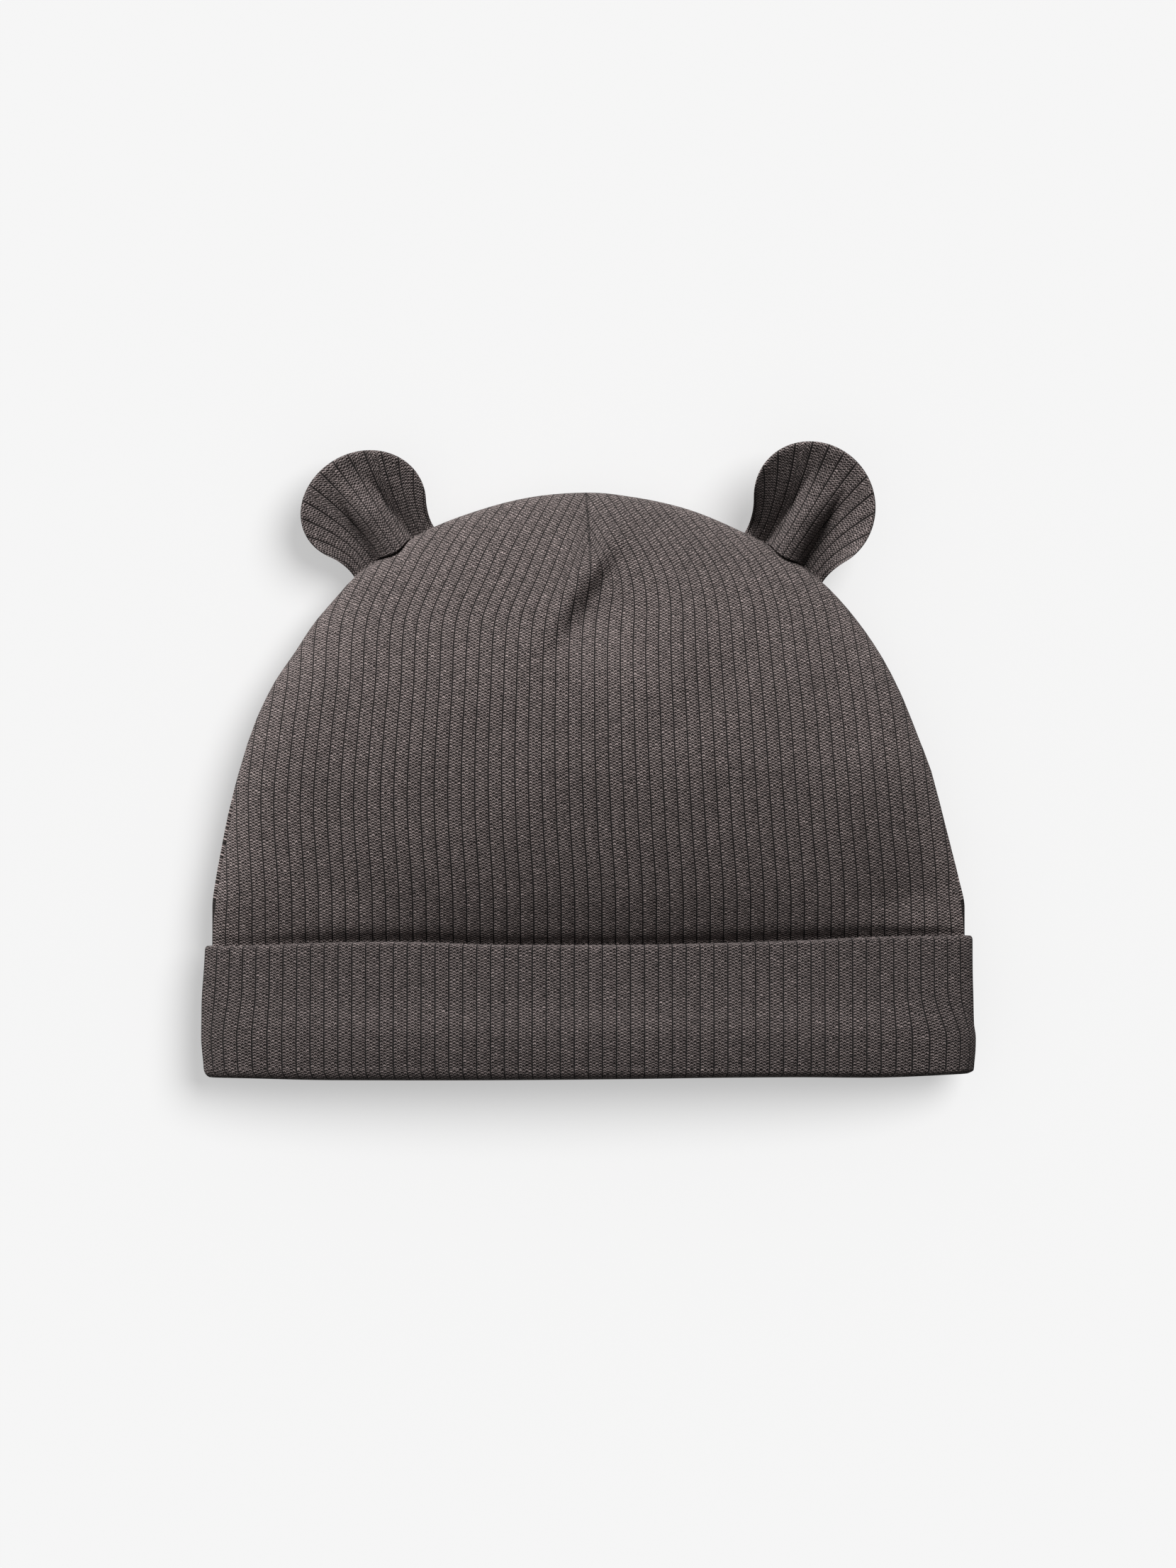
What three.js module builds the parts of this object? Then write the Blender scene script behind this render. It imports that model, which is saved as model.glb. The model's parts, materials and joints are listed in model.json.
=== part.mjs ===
// Baby hat with two round ears, in drop-needle rib jersey. It lies on its back on a flat
// surface, its top towards +Y, its open mouth towards -Y, lightly puffed by its own cloth.
// Lengths are in millimetres, +Z is up. Heights along Y are counted from the cuff's bottom fold.
import * as THREE from 'three';

// Driving dimensions
const CUFF_WIDTH = 180;
const CUFF_DEPTH = 31;
const CUFF_END_LIFT = 2;
const CUFF_ROLL = 1.1;
const CROWN_HEIGHT = 136;
const CROWN_PUFF = 26;
const SEAM_SINK = 2.5;
const MOUTH_HEIGHT = 11;
const CLOTH = 1.2;
const CUFF_CLOTH = 2.0;
const EAR_CLOTH = 1.6;
const CLEARANCE = 0.3;
const RIB_PITCH = 3.15;
const RIB_DEPTH = 0.35;
const DART_LENGTH = 17.4;
const DART_RIBS = 4;
const DART_PINCH = 1.4;
const INNER_HEM = 26;
const EAR_REACH = 25.4;
const EAR_WIDTH = 29.6;
const EAR_CUP = 4.6;
const EAR_TUCK = 2.4;
const PLEAT_HEIGHT = 3.6;
const CREASE_DEPTH = 2.2;

// Sizes that follow from the driving dimensions
const CROWN_HALF = CUFF_WIDTH / 2 - CUFF_CLOTH - 2 * CLEARANCE;
const CUFF_STACK = CUFF_CLOTH + CLOTH + CLOTH + CLEARANCE + CLEARANCE;
const MOUTH_MIDDLE = CUFF_STACK + MOUTH_HEIGHT / 2;
const CUFF_COVER = CUFF_CLOTH + CLEARANCE;
const TUCK = CUFF_COVER;
const COVER_TOP = CUFF_DEPTH + CUFF_END_LIFT + CLEARANCE;
const SLOT = EAR_CLOTH + 2 * CLEARANCE;
const DART_TIP = 1 - DART_LENGTH / CROWN_HEIGHT;
const COVERED = COVER_TOP / CROWN_HEIGHT;
const SIDES = { left: -1, right: 1 };

// Outline of the crown: height as a share of the crown's height, half widths as shares of its own
const OUTLINE = [
  { at: 0.000, left: 1.000, right: 1.000 },
  { at: 0.290, left: 1.000, right: 1.000 },
  { at: 0.339, left: 0.991, right: 0.985 },
  { at: 0.388, left: 0.977, right: 0.966 },
  { at: 0.436, left: 0.963, right: 0.947 },
  { at: 0.485, left: 0.945, right: 0.928 },
  { at: 0.533, left: 0.925, right: 0.907 },
  { at: 0.582, left: 0.901, right: 0.877 },
  { at: 0.629, left: 0.872, right: 0.849 },
  { at: 0.678, left: 0.833, right: 0.815 },
  { at: 0.727, left: 0.781, right: 0.773 },
  { at: 0.775, left: 0.732, right: 0.722 },
  { at: 0.824, left: 0.667, right: 0.658 },
  { at: 0.855, left: 0.623, right: 0.606 },
  { at: 0.900, left: 0.520, right: 0.504 },
  { at: 0.941, left: 0.411, right: 0.382 },
  { at: 0.969, left: 0.296, right: 0.276 },
  { at: 0.993, left: 0.146, right: 0.112 },
  { at: 1.000, left: 0.000, right: 0.000 },
];

// How the ribs run: the middle rib's sway as a share of the half width, the pull towards the
// middle as a share of each rib's own distance
const RIB_RUN = [
  { at: 0.00, sway: 0.000, pullLeft: 0.000, pullRight: 0.000 },
  { at: 0.29, sway: 0.000, pullLeft: 0.000, pullRight: 0.000 },
  { at: 0.44, sway: -0.012, pullLeft: 0.000, pullRight: 0.010 },
  { at: 0.59, sway: -0.018, pullLeft: 0.028, pullRight: 0.030 },
  { at: 0.68, sway: -0.018, pullLeft: 0.050, pullRight: 0.055 },
  { at: 0.77, sway: -0.014, pullLeft: 0.055, pullRight: 0.090 },
  { at: 0.87, sway: 0.006, pullLeft: 0.080, pullRight: 0.160 },
  { at: 0.92, sway: 0.002, pullLeft: 0.120, pullRight: 0.210 },
  { at: 1.00, sway: -0.007, pullLeft: 0.220, pullRight: 0.300 },
];

// Height of the crown's front above the surface, as a share of its puff, and where it lies:
// a share of the way from the cuff's top edge to the top of the crown
const PUFF = [
  { at: 0.00, front: 0.67 },
  { at: 0.10, front: 0.78 },
  { at: 0.24, front: 0.91 },
  { at: 0.42, front: 1.00 },
  { at: 0.60, front: 0.99 },
  { at: 0.80, front: 0.91 },
  { at: 1.00, front: 0.82 },
];

// Dents of the front: place and size as shares of the half width and the height, depth of the puff
const DENTS = [
  { name: 'below the dart', x: 0.02, y: 0.79, wide: 0.12, long: 0.070, turn: -0.6, deep: 0.045 },
  { name: 'right of the middle', x: 0.33, y: 0.66, wide: 0.16, long: 0.050, turn: 0.5, deep: 0.030 },
  { name: 'lower right', x: 0.70, y: 0.33, wide: 0.14, long: 0.110, turn: 0.3, deep: 0.075 },
  { name: 'lower left', x: -0.62, y: 0.30, wide: 0.18, long: 0.080, turn: -0.4, deep: 0.045 },
  { name: 'left of the middle', x: -0.30, y: 0.52, wide: 0.14, long: 0.090, turn: 0.4, deep: 0.025 },
];

// The ears: base ends as shares of the crown's height, head as shares of the reach and the width
const EARS = [
  {
    name: 'ear_left', side: 'left', top: 0.941, low: 0.855,
    reach: 1.000, width: 1.000, shift: 0.030, cup: 0.70,
  },
  {
    name: 'ear_right', side: 'right', top: 0.931, low: 0.846,
    reach: 1.105, width: 0.997, shift: -0.042, cup: 1.20,
  },
];

// The cuff's edges along its width, from its left end to its right end, as shares of its end's
// lift: how much its top edge rises over its depth, and its bottom fold over its lowest line
const CUFF_EDGE = [
  { at: -1.00, rise: -0.20, hem: 0.02 },
  { at: -0.90, rise: -0.15, hem: -0.02 },
  { at: -0.67, rise: 0.25, hem: -0.18 },
  { at: -0.50, rise: 0.35, hem: -0.18 },
  { at: -0.20, rise: 0.00, hem: -0.14 },
  { at: 0.10, rise: 0.00, hem: -0.02 },
  { at: 0.33, rise: 0.20, hem: 0.12 },
  { at: 0.55, rise: 0.50, hem: 0.17 },
  { at: 0.75, rise: 0.90, hem: 0.10 },
  { at: 1.00, rise: 1.00, hem: 0.45 },
];

// The cuff's ends from its bottom fold up, in shares of its depth: how far they draw in, in
// shares of its cloth
const CUFF_ENDS = [
  { at: 0.00, left: 0.32, right: 0.28 },
  { at: 0.10, left: 0.26, right: 0.18 },
  { at: 0.20, left: 0.10, right: 0.04 },
  { at: 0.30, left: 0.00, right: 0.00 },
  { at: 0.40, left: 0.02, right: 0.20 },
  { at: 0.60, left: 0.07, right: 0.28 },
  { at: 0.80, left: 0.30, right: 0.36 },
  { at: 1.00, left: 0.48, right: 0.38 },
];

// Roundness of the soft forms: powers of the rolled edges
const SIDE_ROLL = 2.4;
const TOP_ROLL = 2.6;
const TOP_ROLL_START = 0.5;
const FLAT_SHARE = 0.55;
const BACK_ROLL_START = 0.64;
const FLAT_ROLL = 2.6;

// How far the forms reach, in shares of the crown's height
const BARE_REACH = 0.08;
const COVER_FADE = 0.15;
const SLOT_START = 0.2;
const SLOT_FULL = 0.1;
const PINCH_BEFORE = 0.03;
const PINCH_AFTER = 0.04;
const LEAN_BEFORE = 0.09;

// How the ribs lean and how the dart pulls them, in ribs and powers
const LEAN_POWER = 1.5;
const PINCH_RIBS = 1.5;

// The crease beside the dart's tip: where its middle is, its turn, and its reach in ribs
const CREASE = { x: 0.007, y: 0.836, turn: -0.595, sharp: 0.55, soft: 3.2, long: 3.0 };

const clamp = (value, low, high) => Math.min(high, Math.max(low, value));
const mix = (from, to, share) => from + (to - from) * share;

function smooth(low, high, value) {
  const share = clamp((value - low) / (high - low), 0, 1);
  return share * share * (3 - 2 * share);
}

// A smooth curve through one column of a table, by the rows' own spacing
function curve(table, column, at, power = 1) {
  const value = (row) => row[column] ** power;
  const slope = (index) => {
    const before = table[Math.max(0, index - 1)];
    const after = table[Math.min(table.length - 1, index + 1)];
    const own = value(table[index]);
    const turns = before !== table[index] && after !== table[index]
      && (own - value(before)) * (value(after) - own) <= 0;
    return turns ? 0 : (value(after) - value(before)) / (after.at - before.at);
  };
  const place = clamp(at, table[0].at, table[table.length - 1].at);
  const index = Math.max(0, table.findLastIndex((row, row_index) =>
    row.at <= place && row_index < table.length - 1));
  const low = table[index];
  const high = table[index + 1];
  const span = high.at - low.at;
  const share = (place - low.at) / span;
  const rest = 1 - share;
  return value(low) * rest * rest * (1 + 2 * share) + value(high) * share * share * (3 - 2 * share)
    + slope(index) * span * share * rest * rest - slope(index + 1) * span * share * share * rest;
}

// The share at which a falling function of it reaches zero
function crossing(test, low, high) {
  let from = low;
  let to = high;
  for (let step = 0; step < 50; step += 1) {
    const middle = (from + to) / 2;
    if (test(middle) > 0) from = middle;
    else to = middle;
  }
  return (from + to) / 2;
}

// Half width of the crown on one side at a share of its height: the squares are joined, so that
// the top closes round
function halfWidth(side, at) {
  return CROWN_HALF * Math.sqrt(Math.max(0, curve(OUTLINE, side, at, 2)));
}

// Where a rib runs: share is its distance from the middle rib at the mouth, 0 to 1
const DART_SHARE = (DART_RIBS * RIB_PITCH) / CROWN_HALF;

function ribPull(side, share, at) {
  const left = curve(RIB_RUN, 'pullLeft', at);
  const right = curve(RIB_RUN, 'pullRight', at);
  const own = side === 'left' ? left : right;
  return mix((left + right) / 2, own, smooth(DART_SHARE, 3 * DART_SHARE, share));
}

function ribPlace(side, share, at) {
  const start = DART_TIP - LEAN_BEFORE * smooth(0, DART_SHARE, share);
  const lean = Math.max(0, (at - start) / (1 - start)) ** LEAN_POWER;
  const taken = DART_SHARE * (1 - ribPull(side, DART_SHARE, 1)) * lean;
  return share * (1 - ribPull(side, share, at)) - taken;
}

function middleRib(at) {
  return CROWN_HALF * curve(RIB_RUN, 'sway', at);
}

function ribX(side, share, at) {
  return middleRib(at) + SIDES[side] * CROWN_HALF * ribPlace(side, share, at);
}

// The height at which a rib ends: at the dart near the middle, otherwise at the outline
function ribEnd(side, share) {
  if (share <= 0) return DART_TIP;
  if (share <= DART_SHARE) return crossing((at) => ribPlace(side, share, at), DART_TIP, 1);
  const start = OUTLINE[1].at;
  return crossing((at) => halfWidth(side, at) - SIDES[side] * ribX(side, share, at), start, 1);
}

// How far a layer has risen from the seam, 0 at the outline and 1 inside
function topClose(at, start, power) {
  const share = clamp((at - start) / (1 - start), 0, 1);
  return Math.sqrt(Math.max(0, 1 - share ** power));
}

function sideShare(x, at) {
  const side = x < 0 ? 'left' : 'right';
  return clamp(Math.abs(x) / Math.max(halfWidth(side, at), CLEARANCE), 0, 1);
}

function frontRoll(share) {
  return Math.sqrt(Math.max(0, 1 - share ** SIDE_ROLL));
}

function backRoll(share) {
  const past = clamp((share - FLAT_SHARE) / (1 - FLAT_SHARE), 0, 1);
  return Math.sqrt(Math.max(0, 1 - past ** FLAT_ROLL));
}

// Height of the front layer: under the cuff it slopes evenly down to the mouth
function frontTop(at) {
  const mouth = MOUTH_MIDDLE + MOUTH_HEIGHT / 2 + CLEARANCE + 2 * CLOTH;
  const edge = CROWN_PUFF * PUFF[0].front;
  if (at <= COVERED) return mix(mouth, edge, at / COVERED);
  return CROWN_PUFF * curve(PUFF, 'front', (at - COVERED) / (1 - COVERED));
}

// The seam between the front and the back: its height, and its opening for the ears' bases
function seamHeight(at) {
  return MOUTH_MIDDLE - SEAM_SINK * smooth(COVERED, 1, at);
}

function earEnds(ear) {
  return { top: halfWidth(ear.side, ear.top), low: halfWidth(ear.side, ear.low) };
}

function seamOpening(x, at) {
  const ear = EARS.find((one) => SIDES[one.side] === Math.sign(x || 1));
  const ends = earEnds(ear);
  const margin = RIB_PITCH;
  const taper = 3 * SLOT;
  const past = Math.max(ends.top - margin - Math.abs(x), Math.abs(x) - ends.low - margin, 0);
  const high = smooth(ear.low - SLOT_START, ear.low - SLOT_FULL, at);
  return mix(CLEARANCE, SLOT, high * (1 - smooth(0, taper, past)));
}

function dent(x, at) {
  return DENTS.reduce((sum, one) => {
    const across = x / CROWN_HALF - one.x;
    const along = at - one.y;
    const turnedAcross = across * Math.cos(one.turn) + along * Math.sin(one.turn);
    const turnedAlong = along * Math.cos(one.turn) - across * Math.sin(one.turn);
    const spread = (turnedAcross / one.wide) ** 2 + (turnedAlong / one.long) ** 2;
    return sum + one.deep * Math.exp(-spread);
  }, 0);
}

function dartPinch(x, at) {
  const away = (x - middleRib(at)) / (PINCH_RIBS * RIB_PITCH);
  const along = smooth(DART_TIP - PINCH_BEFORE, DART_TIP + PINCH_AFTER, at);
  return DART_PINCH * along * Math.exp(-away * away);
}

// The cloth steps down over a crease that runs from the dart's tip towards the lower left
function crease(x, at) {
  const across = x - CREASE.x * CROWN_HALF;
  const along = (at - CREASE.y) * CROWN_HEIGHT;
  const away = (across * Math.cos(CREASE.turn) + along * Math.sin(CREASE.turn)) / RIB_PITCH;
  const run = (along * Math.cos(CREASE.turn) - across * Math.sin(CREASE.turn)) / RIB_PITCH;
  const fade = Math.exp(-((Math.max(0, away) / CREASE.soft) ** 2) - (run / CREASE.long) ** 2);
  return CREASE_DEPTH * smooth(-CREASE.sharp, CREASE.sharp, away) * fade;
}

// The two layers of the crown, sunk by a given depth below their outer face
function frontHeight(x, at, sunk) {
  const seam = seamHeight(at);
  const rise = frontRoll(sideShare(x, at)) * topClose(at, TOP_ROLL_START, TOP_ROLL);
  const bare = smooth(COVERED, COVERED + BARE_REACH, at);
  const dip = (CROWN_PUFF * dent(x, at) * bare + dartPinch(x, at) + crease(x, at)) * rise;
  const full = frontTop(at) - seam;
  return seam + (full - sunk) * rise + (seamOpening(x, at) / 2) * (1 - rise) - dip;
}

function backHeight(x, at, sunk) {
  const seam = seamHeight(at);
  const rise = backRoll(sideShare(x, at)) * topClose(at, BACK_ROLL_START, FLAT_ROLL);
  const lift = CUFF_COVER * (1 - smooth(COVERED, COVERED + COVER_FADE, at));
  return seam - (seam - lift - sunk) * rise - (seamOpening(x, at) / 2) * (1 - rise);
}

// Ribs: every second column lies in the narrow groove of a dropped needle
const COLUMNS = 2 * Math.round(CROWN_HALF / RIB_PITCH);
const DART_COLUMNS = 2 * DART_RIBS;
const FINE_EDGE = 6;
const COARSE_STEP = 4;

function columnShare(column) {
  const inner = DART_SHARE * (column / DART_COLUMNS);
  const outer = mix(DART_SHARE, 1, (column - DART_COLUMNS) / (COLUMNS - DART_COLUMNS));
  return column <= DART_COLUMNS ? inner : outer;
}

function isCoarse(column) {
  const nearEnd = COLUMNS - column <= FINE_EDGE;
  return nearEnd || column % COARSE_STEP === 0;
}

function columnList(coarse) {
  const half = Array.from({ length: COLUMNS + 1 }, (_, column) => column)
    .filter((column) => !coarse || isCoarse(column));
  const left = half.slice().reverse().map((column) => ({ side: 'left', column }));
  const right = half.map((column) => ({ side: 'right', column }));
  return [...left, ...right];
}

// A solid is a list of rows of points that are zipped together, pair by pair
class Solid {
  constructor() {
    this.points = [];
    this.faces = [];
    this.known = new Map();
  }

  point(x, y, z) {
    const key = [x, y, z].map((value) => Math.round(value * 1e4)).join();
    if (!this.known.has(key)) {
      this.known.set(key, this.points.length);
      this.points.push([x, y, z]);
    }
    return this.known.get(key);
  }

  face(a, b, c) {
    if (a !== b && b !== c && c !== a) this.faces.push([a, b, c]);
  }

  // Two rows of { at, id } in rising order of at; the faces look along (row) x (first to second).
  // The row that leads where both could go on settles which way each square is halved
  zip(first, second, secondLeads = false) {
    let i = 0;
    let j = 0;
    while (i < first.length - 1 || j < second.length - 1) {
      const nextFirst = i < first.length - 1 ? first[i + 1].at : Infinity;
      const nextSecond = j < second.length - 1 ? second[j + 1].at : Infinity;
      const isFirst = secondLeads ? nextFirst < nextSecond : nextFirst <= nextSecond;
      if (isFirst) {
        this.face(first[i].id, first[i + 1].id, second[j].id);
        i += 1;
      } else {
        this.face(first[i].id, second[j + 1].id, second[j].id);
        j += 1;
      }
    }
  }

  mesh(name, material) {
    const geometry = new THREE.BufferGeometry();
    geometry.setAttribute('position', new THREE.Float32BufferAttribute(this.points.flat(), 3));
    geometry.setIndex(this.faces.flat());
    geometry.computeVertexNormals();
    const mesh = new THREE.Mesh(geometry, material);
    mesh.name = name;
    return mesh;
  }
}

// Crown layers
const CROWN_ROWS = 9;

// Heights of one column's rows: the mouth, the cuff's top edge, then evenly up to the rib's end
function columnHeights(side, column) {
  const end = ribEnd(side, columnShare(column)) * CROWN_HEIGHT;
  const upper = Array.from({ length: CROWN_ROWS }, (_, row) =>
    mix(COVER_TOP, end, (row + 1) / CROWN_ROWS));
  return [TUCK, COVER_TOP, ...upper];
}

function crownRows(solid, heightOf, coarse, sunk, pressed) {
  const scaleX = 1 - sunk / CROWN_HALF;
  const scaleY = 1 - sunk / CROWN_HEIGHT;
  const rows = Array.from({ length: CROWN_ROWS + 2 }, () => []);
  columnList(coarse).forEach(({ side, column }) => {
    columnHeights(side, column).forEach((y, row) => {
      const at = y / CROWN_HEIGHT;
      const groove = !coarse && column % 2 === 1 ? RIB_DEPTH * (1 - pressed(side, column, at)) : 0;
      const x = ribX(side, columnShare(column), at);
      const z = heightOf(x, at, sunk + groove);
      const sunkY = TUCK + (y - TUCK) * scaleY;
      rows[row].push({
        at: SIDES[side] * column,
        id: solid.point(x * scaleX, sunkY, z),
      });
    });
  });
  return rows;
}

function crownLayer(name, material, heightOf, pressed, facesUp) {
  const solid = new Solid();
  const outer = crownRows(solid, heightOf, false, 0, pressed);
  const inner = crownRows(solid, heightOf, true, CLOTH, pressed);
  const zip = (first, second) => (facesUp ? solid.zip(first, second) : solid.zip(second, first));
  for (let row = 0; row <= CROWN_ROWS; row += 1) {
    zip(outer[row], outer[row + 1]);
    zip(inner[row + 1], inner[row]);
  }
  zip(inner[0], outer[0]);
  const top = CROWN_ROWS + 1;
  const leftOf = (row) => row.filter((one) => one.at <= -DART_COLUMNS);
  const rightOf = (row) => row.filter((one) => one.at >= DART_COLUMNS);
  zip(leftOf(outer[top]), leftOf(inner[top]));
  zip(rightOf(outer[top]), rightOf(inner[top]));
  const edge = (rows, end) => rows.map((row, index) => ({ at: index, id: row.at(end).id }));
  zip(edge(inner, -1), edge(outer, -1));
  zip(edge(outer, 0), edge(inner, 0));
  return solid.mesh(name, material);
}

// The cloth that bears on the surface below has its ribs pressed flat
const PRESS = { side: 0.15, low: 0.3, full: 0.4, top: 0.1 };
const pressedNowhere = () => 0;

function pressedBelow(side, column, at) {
  const across = 1 - smooth(FLAT_SHARE, FLAT_SHARE + PRESS.side, columnShare(column));
  const above = 1 - smooth(BACK_ROLL_START, BACK_ROLL_START + PRESS.top, at);
  return across * smooth(PRESS.low, PRESS.full, at) * above;
}

// Cuff: one turned-up ring; its section runs round the outer leg, the bottom fold and the hem
const HEM_START = CUFF_COVER + CLOTH + CLEARANCE;
const FOLD = CUFF_CLOTH / 2;

// Rows of the section up the outer leg, and the roundness of the two folds in shares of the cloth
const LEG_ROWS = [0, 0.3, 0.65, 1];
const TOP_ROUND = 0.3;
const HEM_ROUND = 0.25;

// The outer leg rolls out above the bottom fold: where it is highest and how far that reaches
const ROLL = { at: 0.35, below: 0.22, above: 0.15 };

// Near the cuff's ends its ribs bow outwards below its middle: how much, how far in and where
const BOW = { left: 0.25, right: 0.6, reach: 0.12, low: 0.3, high: 0.65 };
const END_POWER = 10;

function cuffRise(place) {
  return CUFF_END_LIFT * curve(CUFF_EDGE, 'rise', place);
}

// The bottom fold wanders a little, within the thickness of its own cloth
function hemLine(place, y) {
  return CUFF_END_LIFT * curve(CUFF_EDGE, 'hem', place) * (1 - smooth(0, CUFF_CLOTH, y));
}

// Section points: depth below the outer face, and height over the bottom fold
function cuffSection(place) {
  const top = CUFF_DEPTH + cuffRise(place);
  const leg = (share) => mix(TUCK, top - FOLD, share);
  const outer = LEG_ROWS.map((share) => ({ sunk: 0, y: leg(share) }));
  return [
    ...outer,
    { sunk: FOLD * TOP_ROUND, y: top - FOLD * TOP_ROUND },
    { sunk: FOLD, y: top },
    { sunk: CUFF_CLOTH - FOLD * TOP_ROUND, y: top - FOLD * TOP_ROUND },
    { sunk: CUFF_CLOTH, y: leg(1) },
    { sunk: CUFF_CLOTH, y: CUFF_CLOTH },
    { sunk: HEM_START, y: CUFF_CLOTH },
    { sunk: HEM_START, y: INNER_HEM },
    { sunk: HEM_START + CLOTH / 2, y: INNER_HEM + CLOTH / 2 },
    { sunk: HEM_START + CLOTH, y: INNER_HEM },
    { sunk: HEM_START + CLOTH, y: CUFF_CLOTH },
    { sunk: HEM_START, y: CUFF_CLOTH * HEM_ROUND },
    { sunk: CUFF_STACK / 2, y: 0 },
    { sunk: CUFF_CLOTH / 2, y: CUFF_CLOTH * HEM_ROUND },
  ];
}

function bow(side, share, y) {
  const inwards = 1 - share;
  const low = 1 - smooth(BOW.low, BOW.high, y / CUFF_DEPTH);
  return BOW[side] * low * inwards * Math.exp(-((inwards / BOW.reach) ** 2));
}

function cuffRoll(y) {
  const away = y / CUFF_DEPTH - ROLL.at;
  const reach = away < 0 ? ROLL.below : ROLL.above;
  return CUFF_ROLL * Math.exp(-((away / reach) ** 2)) * smooth(0, TUCK, y - TUCK);
}

function cuffPoint(layer, side, column, { sunk, y }, groove) {
  const isFront = layer === 'front';
  const outward = Math.max(0, 1 - sunk / CUFF_CLOTH);
  const share = columnShare(column) + (isFront ? bow(side, columnShare(column), y) * outward : 0);
  const drawn = curve(CUFF_ENDS, side, y / CUFF_DEPTH) * CUFF_CLOTH * outward * share ** END_POWER;
  const x = SIDES[side] * (share * (CUFF_WIDTH / 2 - sunk) - drawn);
  const puff = frontTop(y / CROWN_HEIGHT) - MOUTH_MIDDLE + CUFF_COVER;
  const z = isFront
    ? MOUTH_MIDDLE + (puff - sunk - groove + cuffRoll(y) * outward) * frontRoll(share)
    : MOUTH_MIDDLE - (MOUTH_MIDDLE - sunk) * backRoll(share);
  return [x, y + hemLine(SIDES[side] * columnShare(column), y), z];
}

function cuffRing(name, material) {
  const solid = new Solid();
  const loop = (coarse) => {
    const front = columnList(coarse).reverse()
      .map((one) => ({ ...one, layer: 'front', at: -SIDES[one.side] * one.column }));
    const back = columnList(coarse)
      .map((one) => ({ ...one, layer: 'back', at: 2 * COLUMNS + SIDES[one.side] * one.column }));
    return [...front, ...back];
  };
  const rows = cuffSection(0).map((_, index) => {
    const isOuter = index < LEG_ROWS.length;
    return loop(!isOuter).map(({ layer, side, column, at }) => {
      const spot = cuffSection(SIDES[side] * columnShare(column))[index];
      const groove = isOuter && layer === 'front' && column % 2 === 1 ? RIB_DEPTH : 0;
      return { at, id: solid.point(...cuffPoint(layer, side, column, spot, groove)) };
    });
  });
  rows.forEach((row, index) => solid.zip(rows[(index + 1) % rows.length], row));
  return solid.mesh(name, material);
}

// Ears: a doubled round of cloth, gathered at its base by two pleats with a raised fold between
const EAR_COLUMNS = 20;
const EAR_ROWS = 7;
const EAR_TURN = 2.1;
const EAR_RIM = 0.6;

function outlinePoint(side, half) {
  const at = crossing((share) => halfWidth(side, share) - half, OUTLINE[1].at, 1);
  return { x: SIDES[side] * half, y: at * CROWN_HEIGHT, at };
}

function earFrame(ear) {
  const ends = earEnds(ear);
  const top = outlinePoint(ear.side, ends.top);
  const low = outlinePoint(ear.side, ends.low);
  const along = new THREE.Vector2(low.x - top.x, low.y - top.y);
  along.normalize();
  const out = new THREE.Vector2(-along.y, along.x).multiplyScalar(SIDES[ear.side]);
  const middle = new THREE.Vector2((low.x + top.x) / 2, (low.y + top.y) / 2);
  return { ends, along, out, middle };
}

// The raised fold between the ear's two pleats: half widths at the base and the rim in shares of
// the cloth, how steep its flanks are, and where it fades in and out on its way outwards
const PLEAT = { base: 0.42, tip: 0.16, steep: 1, start: 0.09, fade: 0.32, end: 0.88 };

// The valleys beside it, deeper towards the middle of the hat, in shares of the fold's height
const VALLEY = { inner: 0.75, outer: 0.45, reach: 0.22, fade: 0.3, end: 0.85 };
const CUP_POWER = 1.5;

function earFold(ear, across, outwards) {
  const half = mix(PLEAT.base, PLEAT.tip, outwards);
  const start = smooth(0, PLEAT.start, outwards);
  const ridge = 1 - smooth(PLEAT.fade, PLEAT.end, outwards);
  const deep = (across < 0 ? VALLEY.inner : VALLEY.outer)
    * (1 - smooth(VALLEY.fade, VALLEY.end, outwards));
  const inside = Math.max(0, 1 - (across / half) ** 2) ** PLEAT.steep;
  const past = Math.max(0, Math.abs(across) - half) / VALLEY.reach;
  const fold = (ridge + deep) * inside - deep * Math.exp(-past * past);
  return PLEAT_HEIGHT * start * fold + EAR_CUP * ear.cup * outwards ** CUP_POWER;
}

// How the base gathers the cloth, how the rim spreads it, and how it bends on its way between
const GATHER = 0.1;
const SPREAD = 0.2;
const SHIFT_FADE = 4;
const BEND = { reach: 0.9, sides: 0.75 };

function earPoint(ear, frame, across, outwards) {
  const { ends, along, out, middle } = frame;
  const gathered = across * (1 + GATHER - GATHER * across * across);
  const foot = outlinePoint(ear.side, mix(ends.top, ends.low, (gathered + 1) / 2));
  const head = ear.reach * EAR_REACH / 2;
  const angle = EAR_TURN * across * (1 - SPREAD + SPREAD * across * across);
  const shift = ear.shift * EAR_WIDTH * (1 - across ** SHIFT_FADE);
  const rim = middle.clone()
    .addScaledVector(along, (ear.width * EAR_WIDTH / 2) * Math.sin(angle) + shift)
    .addScaledVector(out, head * (1 + Math.cos(angle)));
  const start = new THREE.Vector2(foot.x, foot.y);
  const seam = seamHeight(foot.at);
  if (outwards <= 0) {
    start.addScaledVector(out, outwards < 0 ? -EAR_TUCK : 2 * CLEARANCE);
    return { x: start.x, y: start.y, z: seam };
  }
  start.addScaledVector(out, 2 * CLEARANCE);
  const reach = head * BEND.reach * (1 - BEND.sides * across * across);
  const bend = start.clone().addScaledVector(out, reach);
  const rest = 1 - outwards;
  const x = rest * rest * start.x + 2 * rest * outwards * bend.x + outwards * outwards * rim.x;
  const y = rest * rest * start.y + 2 * rest * outwards * bend.y + outwards * outwards * rim.y;
  return { x, y, z: seam + earFold(ear, across, outwards) };
}

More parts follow.
